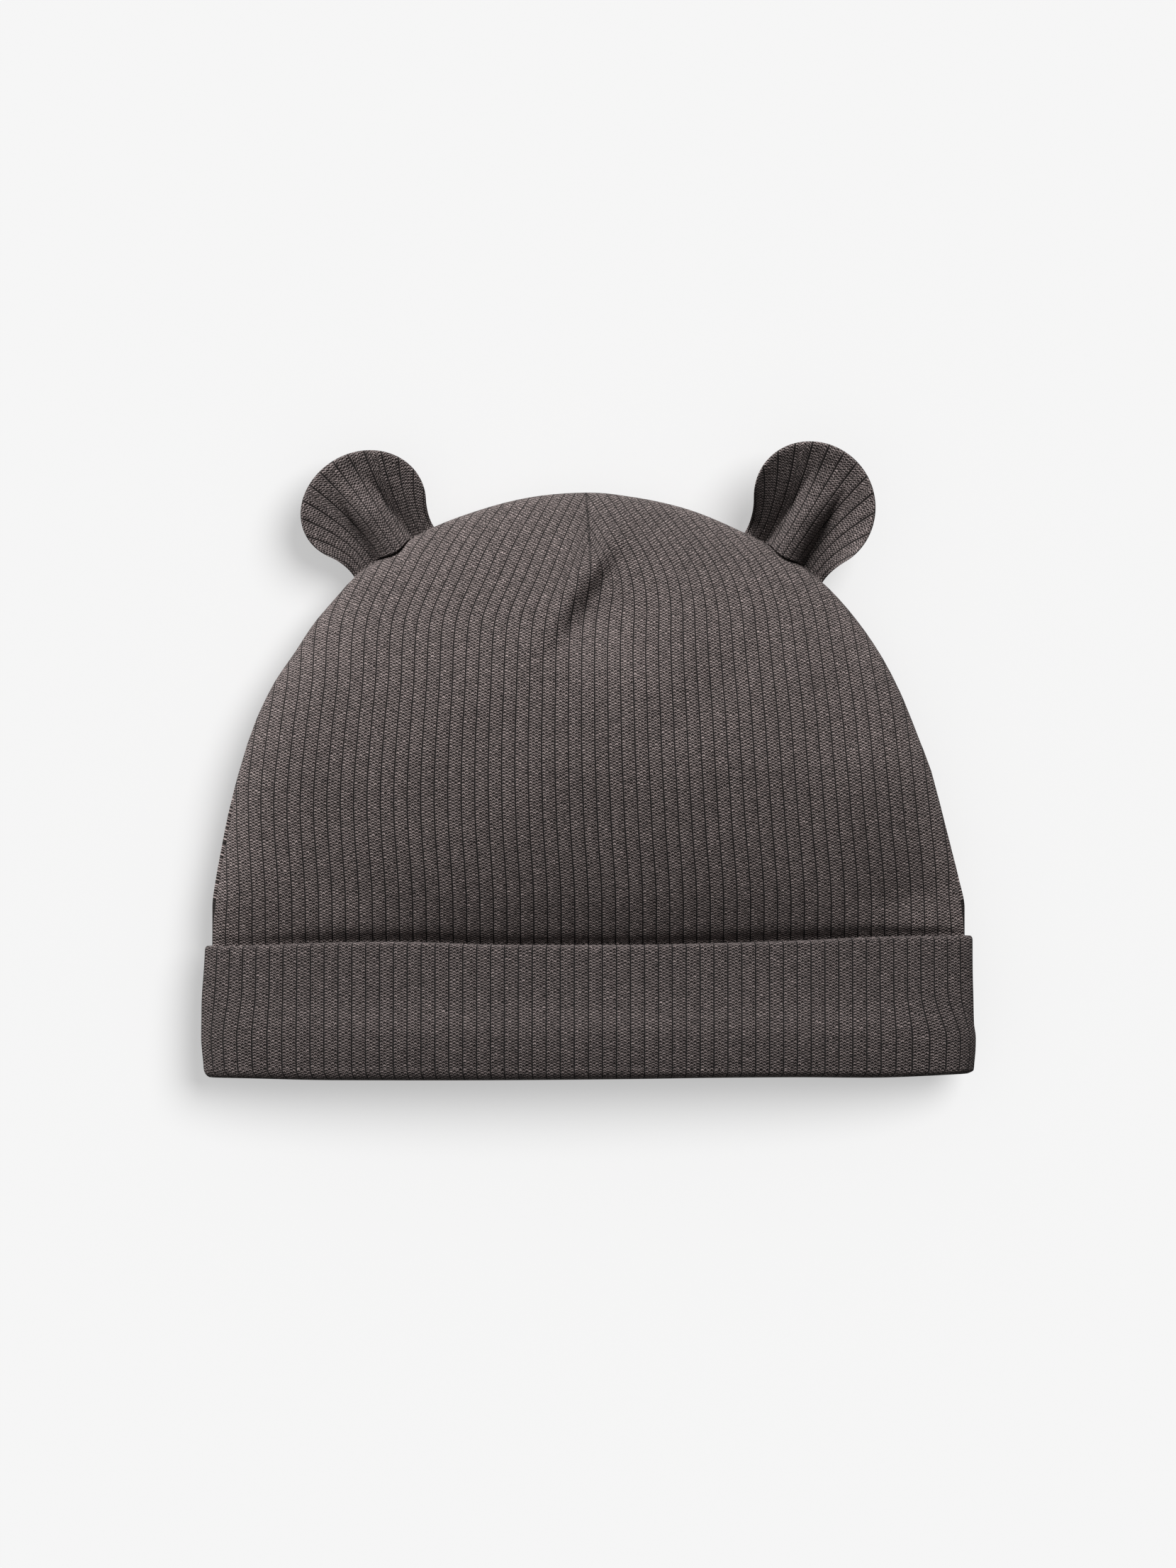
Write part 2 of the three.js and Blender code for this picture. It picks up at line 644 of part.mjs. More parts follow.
function earMesh(ear, material) {
  const solid = new Solid();
  const frame = earFrame(ear);
  const steps = [-1, 0, ...Array.from({ length: EAR_ROWS }, (_, row) => (row + 1) / EAR_ROWS)];
  const sheet = (side) => steps.map((outwards) => {
    const row = [];
    for (let column = 0; column <= EAR_COLUMNS; column += 1) {
      const across = (2 * column) / EAR_COLUMNS - 1;
      const { x, y, z } = earPoint(ear, frame, across, outwards);
      const atEdge = outwards === 1 || column === 0 || column === EAR_COLUMNS;
      const half = (EAR_CLOTH / 2) * (atEdge ? EAR_RIM : 1);
      const ribbed = side > 0 && column % 2 === 1 && outwards > 0 && !atEdge;
      row.push({ at: column, id: solid.point(x, y, z + side * half - (ribbed ? RIB_DEPTH : 0)) });
    }
    return row;
  });
  const upper = sheet(1);
  const lower = sheet(-1);
  const flip = SIDES[ear.side] < 0;
  const zip = (first, second, leads) =>
    (flip ? solid.zip(second, first, leads) : solid.zip(first, second, leads));
  for (let row = 0; row < steps.length - 1; row += 1) {
    zip(upper[row], upper[row + 1]);
    zip(lower[row + 1], lower[row], true);
  }
  zip(lower[0], upper[0]);
  zip(upper.at(-1), lower.at(-1));
  const edge = (rows, end) => rows.map((row, index) => ({ at: index, id: row.at(end).id }));
  zip(edge(lower, -1), edge(upper, -1));
  zip(edge(upper, 0), edge(lower, 0));
  return solid.mesh(ear.name, material);
}

// Cloth finishes: one taupe grey jersey, a little darker on the cuff and the ears
function jersey(color) {
  return new THREE.MeshStandardMaterial({ color, roughness: 0.92, metalness: 0 });
}

const hat = new THREE.Group();
hat.add(crownLayer('crown_front', jersey(0x5a5353), frontHeight, pressedNowhere, true));
hat.add(crownLayer('crown_back', jersey(0x5a5353), backHeight, pressedBelow, false));
hat.add(cuffRing('cuff', jersey(0x474241)));
EARS.forEach((ear) => hat.add(earMesh(ear, jersey(0x524b49))));

// The origin is the middle of the hat's own extent, on the surface that it lies on
const extent = new THREE.Box3().setFromObject(hat);
const centre = extent.getCenter(new THREE.Vector3());
hat.position.set(-centre.x, -centre.y, -extent.min.z);

export default hat;
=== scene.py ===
import json
import math

import bmesh
import bpy
import numpy as np
from bpy.props import FloatProperty, FloatVectorProperty, PointerProperty
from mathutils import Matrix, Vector

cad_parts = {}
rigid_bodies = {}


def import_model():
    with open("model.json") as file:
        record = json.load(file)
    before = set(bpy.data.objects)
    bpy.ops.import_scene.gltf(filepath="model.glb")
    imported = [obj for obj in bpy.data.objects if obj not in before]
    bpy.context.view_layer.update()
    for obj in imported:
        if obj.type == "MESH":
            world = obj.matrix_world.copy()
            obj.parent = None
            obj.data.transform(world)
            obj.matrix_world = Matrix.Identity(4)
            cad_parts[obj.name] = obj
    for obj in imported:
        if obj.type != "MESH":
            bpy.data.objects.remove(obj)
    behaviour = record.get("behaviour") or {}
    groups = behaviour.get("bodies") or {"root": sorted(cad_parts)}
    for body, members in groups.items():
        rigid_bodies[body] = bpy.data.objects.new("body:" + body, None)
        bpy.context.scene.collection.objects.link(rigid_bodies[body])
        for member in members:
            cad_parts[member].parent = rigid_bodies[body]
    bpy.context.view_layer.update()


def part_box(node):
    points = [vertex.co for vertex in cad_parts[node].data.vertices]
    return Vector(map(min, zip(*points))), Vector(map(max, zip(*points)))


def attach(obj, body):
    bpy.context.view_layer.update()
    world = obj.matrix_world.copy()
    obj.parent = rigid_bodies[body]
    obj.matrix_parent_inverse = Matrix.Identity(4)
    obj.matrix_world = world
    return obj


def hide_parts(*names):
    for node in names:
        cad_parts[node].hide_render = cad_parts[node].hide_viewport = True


bl_info = {
    "name": "Baby Hat with Ears",
    "version": (1, 0, 0),
    "blender": (4, 5, 0),
    "location": "View3D > Sidebar > Hat",
    "description": "Rib jersey baby hat with a turned-up cuff and round ears, laid flat",
    "category": "Object",
}

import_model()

MM = 0.001
WELD = 1e-7
HALVINGS = 48
JUST_PAST = 1.0001
SIDES = {"left": -1, "right": 1}

# Cloth of the construction model, and the places that its crown gives
CLOTH = 1.2 * MM
CUFF_CLOTH = 2.0 * MM
CLEARANCE = 0.3 * MM
CROWN_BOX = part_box("crown_front")
CROWN_WIDTH = CROWN_BOX[1][0] - CROWN_BOX[0][0]
MIDDLE_X = (CROWN_BOX[0][0] + CROWN_BOX[1][0]) / 2
MOUTH_Y = CROWN_BOX[0][1] - CUFF_CLOTH - CLEARANCE

# Outline of the crown: height as a share of the crown's height, half widths as shares of its own
OUTLINE = (
    {"at": 0.000, "left": 1.000, "right": 1.000},
    {"at": 0.290, "left": 1.000, "right": 1.000},
    {"at": 0.339, "left": 0.991, "right": 0.985},
    {"at": 0.388, "left": 0.977, "right": 0.966},
    {"at": 0.436, "left": 0.963, "right": 0.947},
    {"at": 0.485, "left": 0.945, "right": 0.928},
    {"at": 0.533, "left": 0.925, "right": 0.907},
    {"at": 0.582, "left": 0.901, "right": 0.877},
    {"at": 0.629, "left": 0.872, "right": 0.849},
    {"at": 0.678, "left": 0.833, "right": 0.815},
    {"at": 0.727, "left": 0.781, "right": 0.773},
    {"at": 0.775, "left": 0.732, "right": 0.722},
    {"at": 0.824, "left": 0.667, "right": 0.658},
    {"at": 0.855, "left": 0.623, "right": 0.606},
    {"at": 0.900, "left": 0.520, "right": 0.504},
    {"at": 0.941, "left": 0.411, "right": 0.382},
    {"at": 0.969, "left": 0.296, "right": 0.276},
    {"at": 0.993, "left": 0.146, "right": 0.112},
    {"at": 1.000, "left": 0.000, "right": 0.000},
)

# How the ribs run: the middle rib's sway as a share of the half width, the pull towards the
# middle as a share of each rib's own distance
RIB_RUN = (
    {"at": 0.00, "sway": 0.000, "pull_left": 0.000, "pull_right": 0.000},
    {"at": 0.29, "sway": 0.000, "pull_left": 0.000, "pull_right": 0.000},
    {"at": 0.44, "sway": -0.012, "pull_left": 0.000, "pull_right": 0.010},
    {"at": 0.59, "sway": -0.018, "pull_left": 0.028, "pull_right": 0.030},
    {"at": 0.68, "sway": -0.018, "pull_left": 0.050, "pull_right": 0.055},
    {"at": 0.77, "sway": -0.014, "pull_left": 0.055, "pull_right": 0.090},
    {"at": 0.87, "sway": 0.006, "pull_left": 0.080, "pull_right": 0.160},
    {"at": 0.92, "sway": 0.002, "pull_left": 0.120, "pull_right": 0.210},
    {"at": 1.00, "sway": -0.007, "pull_left": 0.220, "pull_right": 0.300},
)

# Height of the crown's front as a share of its puff, by the way from the cuff's top edge up
PUFF = (
    {"at": 0.00, "front": 0.67},
    {"at": 0.10, "front": 0.78},
    {"at": 0.24, "front": 0.91},
    {"at": 0.42, "front": 1.00},
    {"at": 0.60, "front": 0.99},
    {"at": 0.80, "front": 0.88},
    {"at": 1.00, "front": 0.72},
)

# Dents of the front: place and size as shares of the half width and the height, depth of the puff
DENTS = (
    {"x": 0.02, "y": 0.79, "wide": 0.12, "long": 0.070, "turn": -0.6, "deep": 0.045},
    {"x": 0.33, "y": 0.66, "wide": 0.16, "long": 0.050, "turn": 0.5, "deep": 0.030},
    {"x": 0.92, "y": 0.30, "wide": 0.17, "long": 0.120, "turn": 0.3, "deep": 0.180},
    {"x": 0.70, "y": 0.50, "wide": 0.10, "long": 0.080, "turn": 0.4, "deep": -0.035},
    {"x": -0.62, "y": 0.30, "wide": 0.18, "long": 0.080, "turn": -0.4, "deep": 0.030},
    {"x": -0.72, "y": 0.44, "wide": 0.16, "long": 0.160, "turn": 0.0, "deep": 0.080},
    {"x": -0.30, "y": 0.52, "wide": 0.14, "long": 0.090, "turn": 0.4, "deep": 0.025},
)

# The ears: base ends as shares of the crown's height, head as shares of the reach and the width
EARS = (
    {"name": "ear_left", "side": "left", "top": 0.941, "low": 0.855,
     "reach": 1.000, "width": 1.000, "shift": 0.030, "cup": 0.70},
    {"name": "ear_right", "side": "right", "top": 0.931, "low": 0.846,
     "reach": 1.105, "width": 0.997, "shift": -0.042, "cup": 1.60},
)

# The cuff's edges along its width, from its left end to its right end, as shares of its end's
# lift: how much its top edge rises over its depth, and its bottom fold over its lowest line
CUFF_EDGE = (
    {"at": -1.00, "rise": -0.20, "hem": 0.02},
    {"at": -0.90, "rise": -0.15, "hem": -0.02},
    {"at": -0.67, "rise": 0.25, "hem": -0.18},
    {"at": -0.50, "rise": 0.35, "hem": -0.18},
    {"at": -0.20, "rise": 0.00, "hem": -0.14},
    {"at": 0.10, "rise": 0.00, "hem": -0.02},
    {"at": 0.33, "rise": 0.20, "hem": 0.12},
    {"at": 0.55, "rise": 0.50, "hem": 0.17},
    {"at": 0.75, "rise": 0.90, "hem": 0.10},
    {"at": 1.00, "rise": 1.00, "hem": 0.45},
)

# The cuff's ends from its bottom fold up, in shares of its depth: how far they draw in, in
# shares of its cloth
CUFF_ENDS = (
    {"at": 0.00, "left": 0.32, "right": 0.28},
    {"at": 0.10, "left": 0.26, "right": 0.18},
    {"at": 0.20, "left": 0.10, "right": 0.04},
    {"at": 0.30, "left": 0.00, "right": 0.00},
    {"at": 0.40, "left": 0.02, "right": 0.20},
    {"at": 0.60, "left": 0.07, "right": 0.28},
    {"at": 0.80, "left": 0.30, "right": 0.36},
    {"at": 1.00, "left": 0.48, "right": 0.38},
)

# Roundness of the soft forms: powers of the rolled edges
SIDE_ROLL = 2.4
TOP_ROLL = 2.6
TOP_ROLL_START = 0.5
FLAT_SHARE = 0.55
BACK_ROLL_START = 0.64
FLAT_ROLL = 2.6

# How far the forms reach, in shares of the crown's height, and past an ear's base in the seam
BARE_REACH = 0.08
COVER_FADE = 0.15
SLOT_START = 0.2
SLOT_FULL = 0.1
EAR_SEAM_FADE = 1.2 * MM
PINCH_BEFORE = 0.03
PINCH_AFTER = 0.04
LEAN_BEFORE = 0.09

# How the ribs lean and how the dart pulls them, in ribs and powers
DART_RIBS = 4
LEAN_POWER = 1.5
PINCH_RIBS = 1.5
# Painted shade along the dart's seam: its width, how much it darkens the colour, and how far it fades in
# at the dart's tip
DART_SHADE_WIDTH = 0.30 * MM
DART_SEAM_PAINTED_SHADE = 0.65
DART_SHADE_START = 0.006

# The crease beside the dart's tip: where its middle is, its turn, and its reach in ribs
CREASE = {"x": -0.008, "y": 0.827, "turn": -0.595, "sharp": 0.8, "soft": 4.4, "long": 4.2,
          "ridge": 0.6, "before": 3.6}

# The crown sinks along the cuff's top edge and its front edge lies inside the back's low down
CREVICE = {"deep": 2.2 * MM, "reach": 1.5 * MM, "wide": 1.4 * MM, "far": 9 * MM, "sides": 2.2,
           "power": 6, "from": 27.4 * MM, "full": 30 * MM}
PEEK = {"wide": 0.9 * MM, "power": 14, "low": 0.24, "high": {"left": 0.52, "right": 0.38}}

# Where the back's ribs are pressed flat
PRESS = {"side": 0.15, "low": 0.3, "full": 0.4, "top": 0.1}

# The cuff's outer leg rolls out above the bottom fold; near its ends the ribs bow outwards
ROLL = {"at": 0.35, "below": 0.22, "above": 0.15}
BOW = {"left": 0.25, "right": 0.6, "reach": 0.12, "low": 0.3, "high": 0.65}
END_POWER = 10

# The ear's raised fold and the valleys beside it, and how its cloth is gathered and spread
EAR_TURN = 2.1
EAR_RIBS = 13
PLEAT = {"base": 0.42, "tip": 0.16, "steep": 0.6, "fade": 0.32, "end": 0.88}
VALLEY = {"inner": 0.50, "outer": 0.32, "reach": 0.22, "fade": 0.3, "end": 0.85}
CUP_POWER = 1.5
GATHER = 0.1
SPREAD = 0.2
SHIFT_FADE = 4
BEND = {"reach": 0.9, "sides": 0.75}
WALL_ROWS = 6
WALL_REACH = 5 * MM
WALL_STEPS = 24
WALL_FADE = 0.25
RIM = {"start": 0.93, "thin": 0.25}

# Places of the grid's columns within one rib, close together at the ladder of the dropped
# needle, how deep each lies, and the columns of the last rib, close together at the edge
RIB_STEPS = (0.0, 0.035, 0.08, 0.5, 0.92, 0.965)
RIB_DEPTHS = (1.0, 0.45, 0.0, 0.0, 0.0, 0.45)
EDGE_STEPS = (0.0, 0.035, 0.08, 0.35, 0.55, 0.72, 0.84, 0.92, 0.965, 0.988, 0.997, 1.0)
COVERED_STEPS = (0.0, 0.3, 0.6, 0.78, 0.82, 0.86, 0.90, 0.94, 0.97)
BARE_ROWS = 98
ROW_POWER = 1.5
LEG_ROWS = 30
FOLD_ROWS = 8
HEM_ROWS = 12
EAR_COLUMNS = 156
EAR_ROWS = 64


def length(name, about, default):
    """A length that the sidebar shows."""
    return FloatProperty(name=name, description=about, unit="LENGTH", default=default)


class HatSizes(bpy.types.PropertyGroup):
    """Sizes of the hat, most of them from the construction model"""

    cuff_width: length(
        "Cuff Width", "Across the flattened cuff", CROWN_WIDTH + 2 * CUFF_CLOTH + 4 * CLEARANCE)
    cuff_depth: length("Cuff Depth", "From the bottom fold to the top fold", 31 * MM)
    cuff_end_lift: length("Cuff End Lift", "How much deeper the cuff is at its right end", 2 * MM)
    cuff_roll: length("Cuff Roll", "How far the cuff rolls out above its fold", 1.1 * MM)
    crown_height: length(
        "Crown Height", "From the cuff's bottom fold to the top of the crown", CROWN_BOX[1][1] - MOUTH_Y)
    crown_puff: length("Crown Puff", "Height of the lying crown over the floor", 26 * MM)
    seam_sink: length("Seam Sink", "How much lower the seam lies at the top", 2.5 * MM)
    mouth_height: length("Mouth Height", "Open height between the layers at the mouth", 11 * MM)
    cloth: length("Cloth", "Thickness of one layer of jersey", CLOTH)
    cuff_cloth: length("Cuff Cloth", "Thickness of the cuff's doubled outer layer", CUFF_CLOTH)
    ear_cloth: length("Ear Cloth", "Thickness of an ear's two layers", 1.6 * MM)
    clearance: length("Clearance", "Gap between neighbouring pieces", CLEARANCE)
    rib_pitch: length("Rib Pitch", "From one dropped needle to the next", 3.15 * MM)
    rib_depth: length("Rib Depth", "Depth of the ladder between two ribs", 0.22 * MM)
    dart_length: length("Dart Length", "Length of the dart's seam", 17.4 * MM)
    dart_pinch: length("Dart Pinch", "How deep the dart pulls the cloth in", 0.6 * MM)
    inner_hem: length("Inner Hem", "Depth of the hem inside the cuff", 26 * MM)
    ear_reach: length("Ear Reach", "How far an ear stands out of the seam", 25.4 * MM)
    ear_width: length("Ear Width", "Width of an ear's round head", 29.6 * MM)
    ear_cup: length("Ear Cup", "How far an ear's rim stands up", 4.6 * MM)
    ear_tuck: length("Ear Tuck", "How far an ear's base goes into the seam", 2.4 * MM)
    pleat_height: length("Pleat Height", "Height of the fold in an ear's base", 3.6 * MM)
    crease_depth: length("Crease Depth", "How deep the crease beside the dart is", 3.0 * MM)
    course: length("Course", "Height of one row of stitches", 0.68 * MM)


class HatColours(bpy.types.PropertyGroup):
    """Colours of the jersey and of the stage; the cuff's and the ears' are the crown's jersey made
    darker, painted shade
    """

    crown: FloatVectorProperty(
        name="Crown", description="Jersey of the crown", subtype="COLOR", size=4,
        default=(0.136, 0.1123, 0.1074, 1.0))
    # Painted shade: the cuff's colour is the crown's jersey made darker
    cuff: FloatVectorProperty(
        name="Cuff", description="Jersey of the cuff", subtype="COLOR", size=4,
        default=(0.094, 0.0777, 0.0747, 1.0))
    # Painted shade: the ears' colour is the crown's jersey made a little darker
    ears: FloatVectorProperty(
        name="Ears", description="Jersey of the ears", subtype="COLOR", size=4,
        default=(0.127, 0.1052, 0.1011, 1.0))
    floor: FloatVectorProperty(
        name="Floor", description="Pale surface under the hat", subtype="COLOR", size=4,
        default=(0.90, 0.90, 0.90, 1.0))


def sizes():
    """The sizes that the sidebar shows."""
    return bpy.context.scene.hat_sizes


def smooth(low, high, value):
    """A soft step from 0 at low to 1 at high."""
    share = np.clip((value - low) / (high - low), 0, 1)
    return share * share * (3 - 2 * share)


def curve(table, column, at, power=1):
    """A smooth curve through one column of a table, by the rows' own spacing."""
    places = np.array([row["at"] for row in table])
    values = np.array([row[column] for row in table]) ** power
    last = len(table) - 1
    before = np.maximum(np.arange(last + 1) - 1, 0)
    after = np.minimum(np.arange(last + 1) + 1, last)
    slopes = (values[after] - values[before]) / (places[after] - places[before])
    turns = (values - values[before]) * (values[after] - values) <= 0
    turns[[0, last]] = False
    slopes[turns] = 0
    place = np.clip(at, places[0], places[last])
    index = np.clip(np.searchsorted(places, place, side="right") - 1, 0, last - 1)
    span = places[index + 1] - places[index]
    share = (place - places[index]) / span
    rest = 1 - share
    return (values[index] * rest * rest * (1 + 2 * share)
            + values[index + 1] * share * share * (3 - 2 * share)
            + slopes[index] * span * share * rest * rest
            - slopes[index + 1] * span * share * share * rest)


def crossing(test, low, high):
    """Where a falling function of an array reaches zero between two arrays."""
    low = np.array(low, dtype=float)
    high = np.array(high, dtype=float)
    for _ in range(HALVINGS):
        middle = (low + high) / 2
        positive = test(middle) > 0
        low = np.where(positive, middle, low)
        high = np.where(positive, high, middle)
    return (low + high) / 2


class Shape:
    """The hat's form, worked out from the named sizes as the construction model is."""

    def __init__(self):
        s = sizes()
        self.s = s
        self.crown_half = s.cuff_width / 2 - s.cuff_cloth - 2 * s.clearance
        self.cuff_cover = s.cuff_cloth + s.clearance
        self.cuff_stack = s.cuff_cloth + 2 * s.cloth + 2 * s.clearance
        self.mouth_middle = self.cuff_stack + s.mouth_height / 2
        self.hem_start = self.cuff_cover + s.cloth + s.clearance
        self.cover_top = s.cuff_depth + s.cuff_end_lift + s.clearance
        self.covered = self.cover_top / s.crown_height
        self.dart_tip = 1 - s.dart_length / s.crown_height
        self.dart_share = DART_RIBS * s.rib_pitch / self.crown_half
        self.slot = s.ear_cloth + 2 * s.clearance
        self.ribs = round(self.crown_half / s.rib_pitch)

    def half_width(self, side, at):
        """Half width of the crown on one side, its squares joined so that the top closes round."""
        return self.crown_half * np.sqrt(np.maximum(0, curve(OUTLINE, side, at, 2)))

    def rib_pull(self, side, share, at):
        left = curve(RIB_RUN, "pull_left", at)
        right = curve(RIB_RUN, "pull_right", at)
        own = left if side == "left" else right
        both = (left + right) / 2
        return both + (own - both) * smooth(self.dart_share, 3 * self.dart_share, share)

    def rib_place(self, side, share, at):
        start = self.dart_tip - LEAN_BEFORE * smooth(0, self.dart_share, share)
        lean = np.maximum(0, (at - start) / (1 - start)) ** LEAN_POWER
        taken = self.dart_share * (1 - self.rib_pull(side, self.dart_share, 1)) * lean
        return share * (1 - self.rib_pull(side, share, at)) - taken

    def middle_rib(self, at):
        return self.crown_half * curve(RIB_RUN, "sway", at)

    def rib_x(self, side, share, at):
        reach = SIDES[side] * self.crown_half * self.rib_place(side, share, at)
        return self.middle_rib(at) + reach

    def rib_end(self, side, share):
        """Where each rib ends: at the dart near the middle, otherwise at the outline."""
        ones = np.ones_like(share)
        at_dart = crossing(
            lambda at: self.rib_place(side, share, at), self.dart_tip * ones, ones)
        at_edge = crossing(
            lambda at: self.half_width(side, at) - SIDES[side] * self.rib_x(side, share, at),
            OUTLINE[1]["at"] * ones, ones)
        return np.where(share <= self.dart_share * JUST_PAST, at_dart, at_edge)

    def seam_height(self, at):
        return self.mouth_middle - self.s.seam_sink * smooth(self.covered, 1, at)

    def ear_ends(self, ear):
        return self.half_width(ear["side"], ear["top"]), self.half_width(ear["side"], ear["low"])

    def seam_opening(self, x, at):
        """Gap between the two crown layers along the seam, wider where an ear's base goes in."""
        opening = np.full(np.broadcast(x, at).shape, self.s.clearance)
        for ear in EARS:
            top, low = self.ear_ends(ear)
            reach = SIDES[ear["side"]] * x
            past = np.maximum(top - reach, reach - low)
            high = smooth(ear["low"] - SLOT_START, ear["low"] - SLOT_FULL, at)
            share = high * (1 - smooth(0, EAR_SEAM_FADE, past))
            opening = opening + (self.slot - self.s.clearance) * share
        return opening

    def side_share(self, x, at):
        half = np.where(x < 0, self.half_width("left", at), self.half_width("right", at))
        return np.clip(np.abs(x) / np.maximum(half, self.s.clearance), 0, 1)

    def front_top(self, at):
        """Height of the front layer in the middle: under the cuff it slopes to the mouth."""
        mouth = self.mouth_middle + self.s.mouth_height / 2 + self.s.clearance + 2 * self.s.cloth
        edge = self.s.crown_puff * PUFF[0]["front"]
        under = mouth + (edge - mouth) * at / self.covered
        above = curve(PUFF, "front", (at - self.covered) / (1 - self.covered))
        return np.where(at <= self.covered, under, self.s.crown_puff * above)

    def dents(self, x, at):
        total = np.zeros(np.broadcast(x, at).shape)
        for one in DENTS:
            across = x / self.crown_half - one["x"]
            along = at - one["y"]
            turned_across = across * math.cos(one["turn"]) + along * math.sin(one["turn"])
            turned_along = along * math.cos(one["turn"]) - across * math.sin(one["turn"])
            spread = (turned_across / one["wide"]) ** 2 + (turned_along / one["long"]) ** 2
            total = total + one["deep"] * np.exp(-spread)
        return total

    def dart_pinch(self, x, at):
        away = (x - self.middle_rib(at)) / (PINCH_RIBS * self.s.rib_pitch)
        along = smooth(self.dart_tip - PINCH_BEFORE, self.dart_tip + PINCH_AFTER, at)
        return self.s.dart_pinch * along * np.exp(-away * away)

    def dart_painted_shade(self, x, at):
        """Mask of painted shade along the dart's seam: 1 on the seam's line and 0 away from it."""
        away = (x - self.middle_rib(at)) / DART_SHADE_WIDTH
        along = smooth(self.dart_tip - DART_SHADE_START, self.dart_tip + DART_SHADE_START, at)
        return along * np.exp(-away * away)

    def crease(self, x, at):
        """The cloth steps down over a crease from the dart's tip towards the lower left."""
        across = x - CREASE["x"] * self.crown_half
        along = (at - CREASE["y"]) * self.s.crown_height
        cos, sin = math.cos(CREASE["turn"]), math.sin(CREASE["turn"])
        away = (across * cos + along * sin) / self.s.rib_pitch
        run = (along * cos - across * sin) / self.s.rib_pitch
        step_down = smooth(-CREASE["sharp"], CREASE["sharp"], away)
        below = step_down * np.exp(-(np.maximum(0, away) / CREASE["soft"]) ** 2)
        ridge = (1 - step_down) * np.exp(-(np.minimum(0, away) / CREASE["before"]) ** 2)
        fade = np.exp(-(run / CREASE["long"]) ** 2)
        return self.s.crease_depth * (below - CREASE["ridge"] * ridge) * fade

    def edge_sink(self, x, at):
        """The crown sinks where the cuff's top edge bears on it, closely and then widely."""
        y = at * self.s.crown_height
        rise = curve(CUFF_EDGE, "rise", x / self.crown_half)
        away = y - self.s.cuff_depth - self.s.cuff_end_lift * rise
        close = CREVICE["deep"] * np.exp(-(away / CREVICE["reach"]) ** 2)
        sides = 1 + CREVICE["sides"] * (x / self.crown_half) ** CREVICE["power"]
        wide = CREVICE["wide"] * sides * np.exp(-(away / CREVICE["far"]) ** 2)
        return (close + wide) * smooth(CREVICE["from"], CREVICE["full"], y)

    def front_height(self, x, at, sunk):
        seam = self.seam_height(at)
        rise = front_roll(self.side_share(x, at)) * top_close(at, TOP_ROLL_START, TOP_ROLL)
        bare = smooth(self.covered, self.covered + BARE_REACH, at)
        folds = self.s.crown_puff * self.dents(x, at) * bare + self.dart_pinch(x, at)
        dip = (folds + self.crease(x, at) + self.edge_sink(x, at)) * rise
        full = self.front_top(at) - seam
        return seam + (full - sunk) * rise + self.seam_opening(x, at) / 2 * (1 - rise) - dip

    def back_height(self, x, at, sunk):
        seam = self.seam_height(at)
        rise = back_roll(self.side_share(x, at)) * top_close(at, BACK_ROLL_START, FLAT_ROLL)
        lift = self.cuff_cover * (1 - smooth(self.covered, self.covered + COVER_FADE, at))
        return (seam - (seam - lift - sunk) * rise
                - self.seam_opening(x, at) / 2 * (1 - rise))


def top_close(at, start, power):
    share = np.clip((at - start) / (1 - start), 0, 1)
    return np.sqrt(np.maximum(0, 1 - share ** power))


def front_roll(share):
    return np.sqrt(np.maximum(0, 1 - share ** SIDE_ROLL))


def back_roll(share):
    past = np.clip((share - FLAT_SHARE) / (1 - FLAT_SHARE), 0, 1)
    return np.sqrt(np.maximum(0, 1 - past ** FLAT_ROLL))


def column_shares(shape):
    """Rib place and groove depth of each grid column, from the middle to the side."""
    ribs = [rib + place for rib in range(shape.ribs - 1) for place in RIB_STEPS]
    depths = [depth for _ in range(shape.ribs - 1) for depth in RIB_DEPTHS]
    ribs = np.array(ribs + [shape.ribs - 1 + place for place in EDGE_STEPS])
    depths = np.array(depths + [1.0, RIB_DEPTHS[1]] + [0.0] * (len(EDGE_STEPS) - 2))
    inner = shape.dart_share * ribs / DART_RIBS
    rest = (ribs - DART_RIBS) / (shape.ribs - DART_RIBS)
    outer = shape.dart_share + (1 - shape.dart_share) * rest
    return np.where(ribs <= DART_RIBS, inner, outer), ribs, depths


def both_sides(values):
    """An array for the left side reversed, then the right, the middle once."""
    return np.concatenate([values[:0:-1], values])


def to_whole_numbers(bm, columns, rows):
    """Numbers a square grid's vertices by column and row, in x and y."""
    for vert in bm.verts:
        vert.co = (round((vert.co.x + 1) / 2 * columns), round((vert.co.y + 1) / 2 * rows), 0)


def grid_shell(columns, rows, is_left_out=None):
    """A closed two-layered grid in whole numbers: x the column, y the row, z the layer."""
    bm = bmesh.new()
    bmesh.ops.create_grid(bm, x_segments=columns, y_segments=rows, size=1)
    to_whole_numbers(bm, columns, rows)
    made = bmesh.ops.extrude_face_region(bm, geom=bm.faces[:], use_keep_orig=True)
    for item in made["geom"]:
        if isinstance(item, bmesh.types.BMVert):
            item.co.z = 1
    if is_left_out is not None:
        walls = [face for face in bm.faces if is_left_out(face)]
        bmesh.ops.delete(bm, geom=walls, context="FACES_ONLY")
    return bm


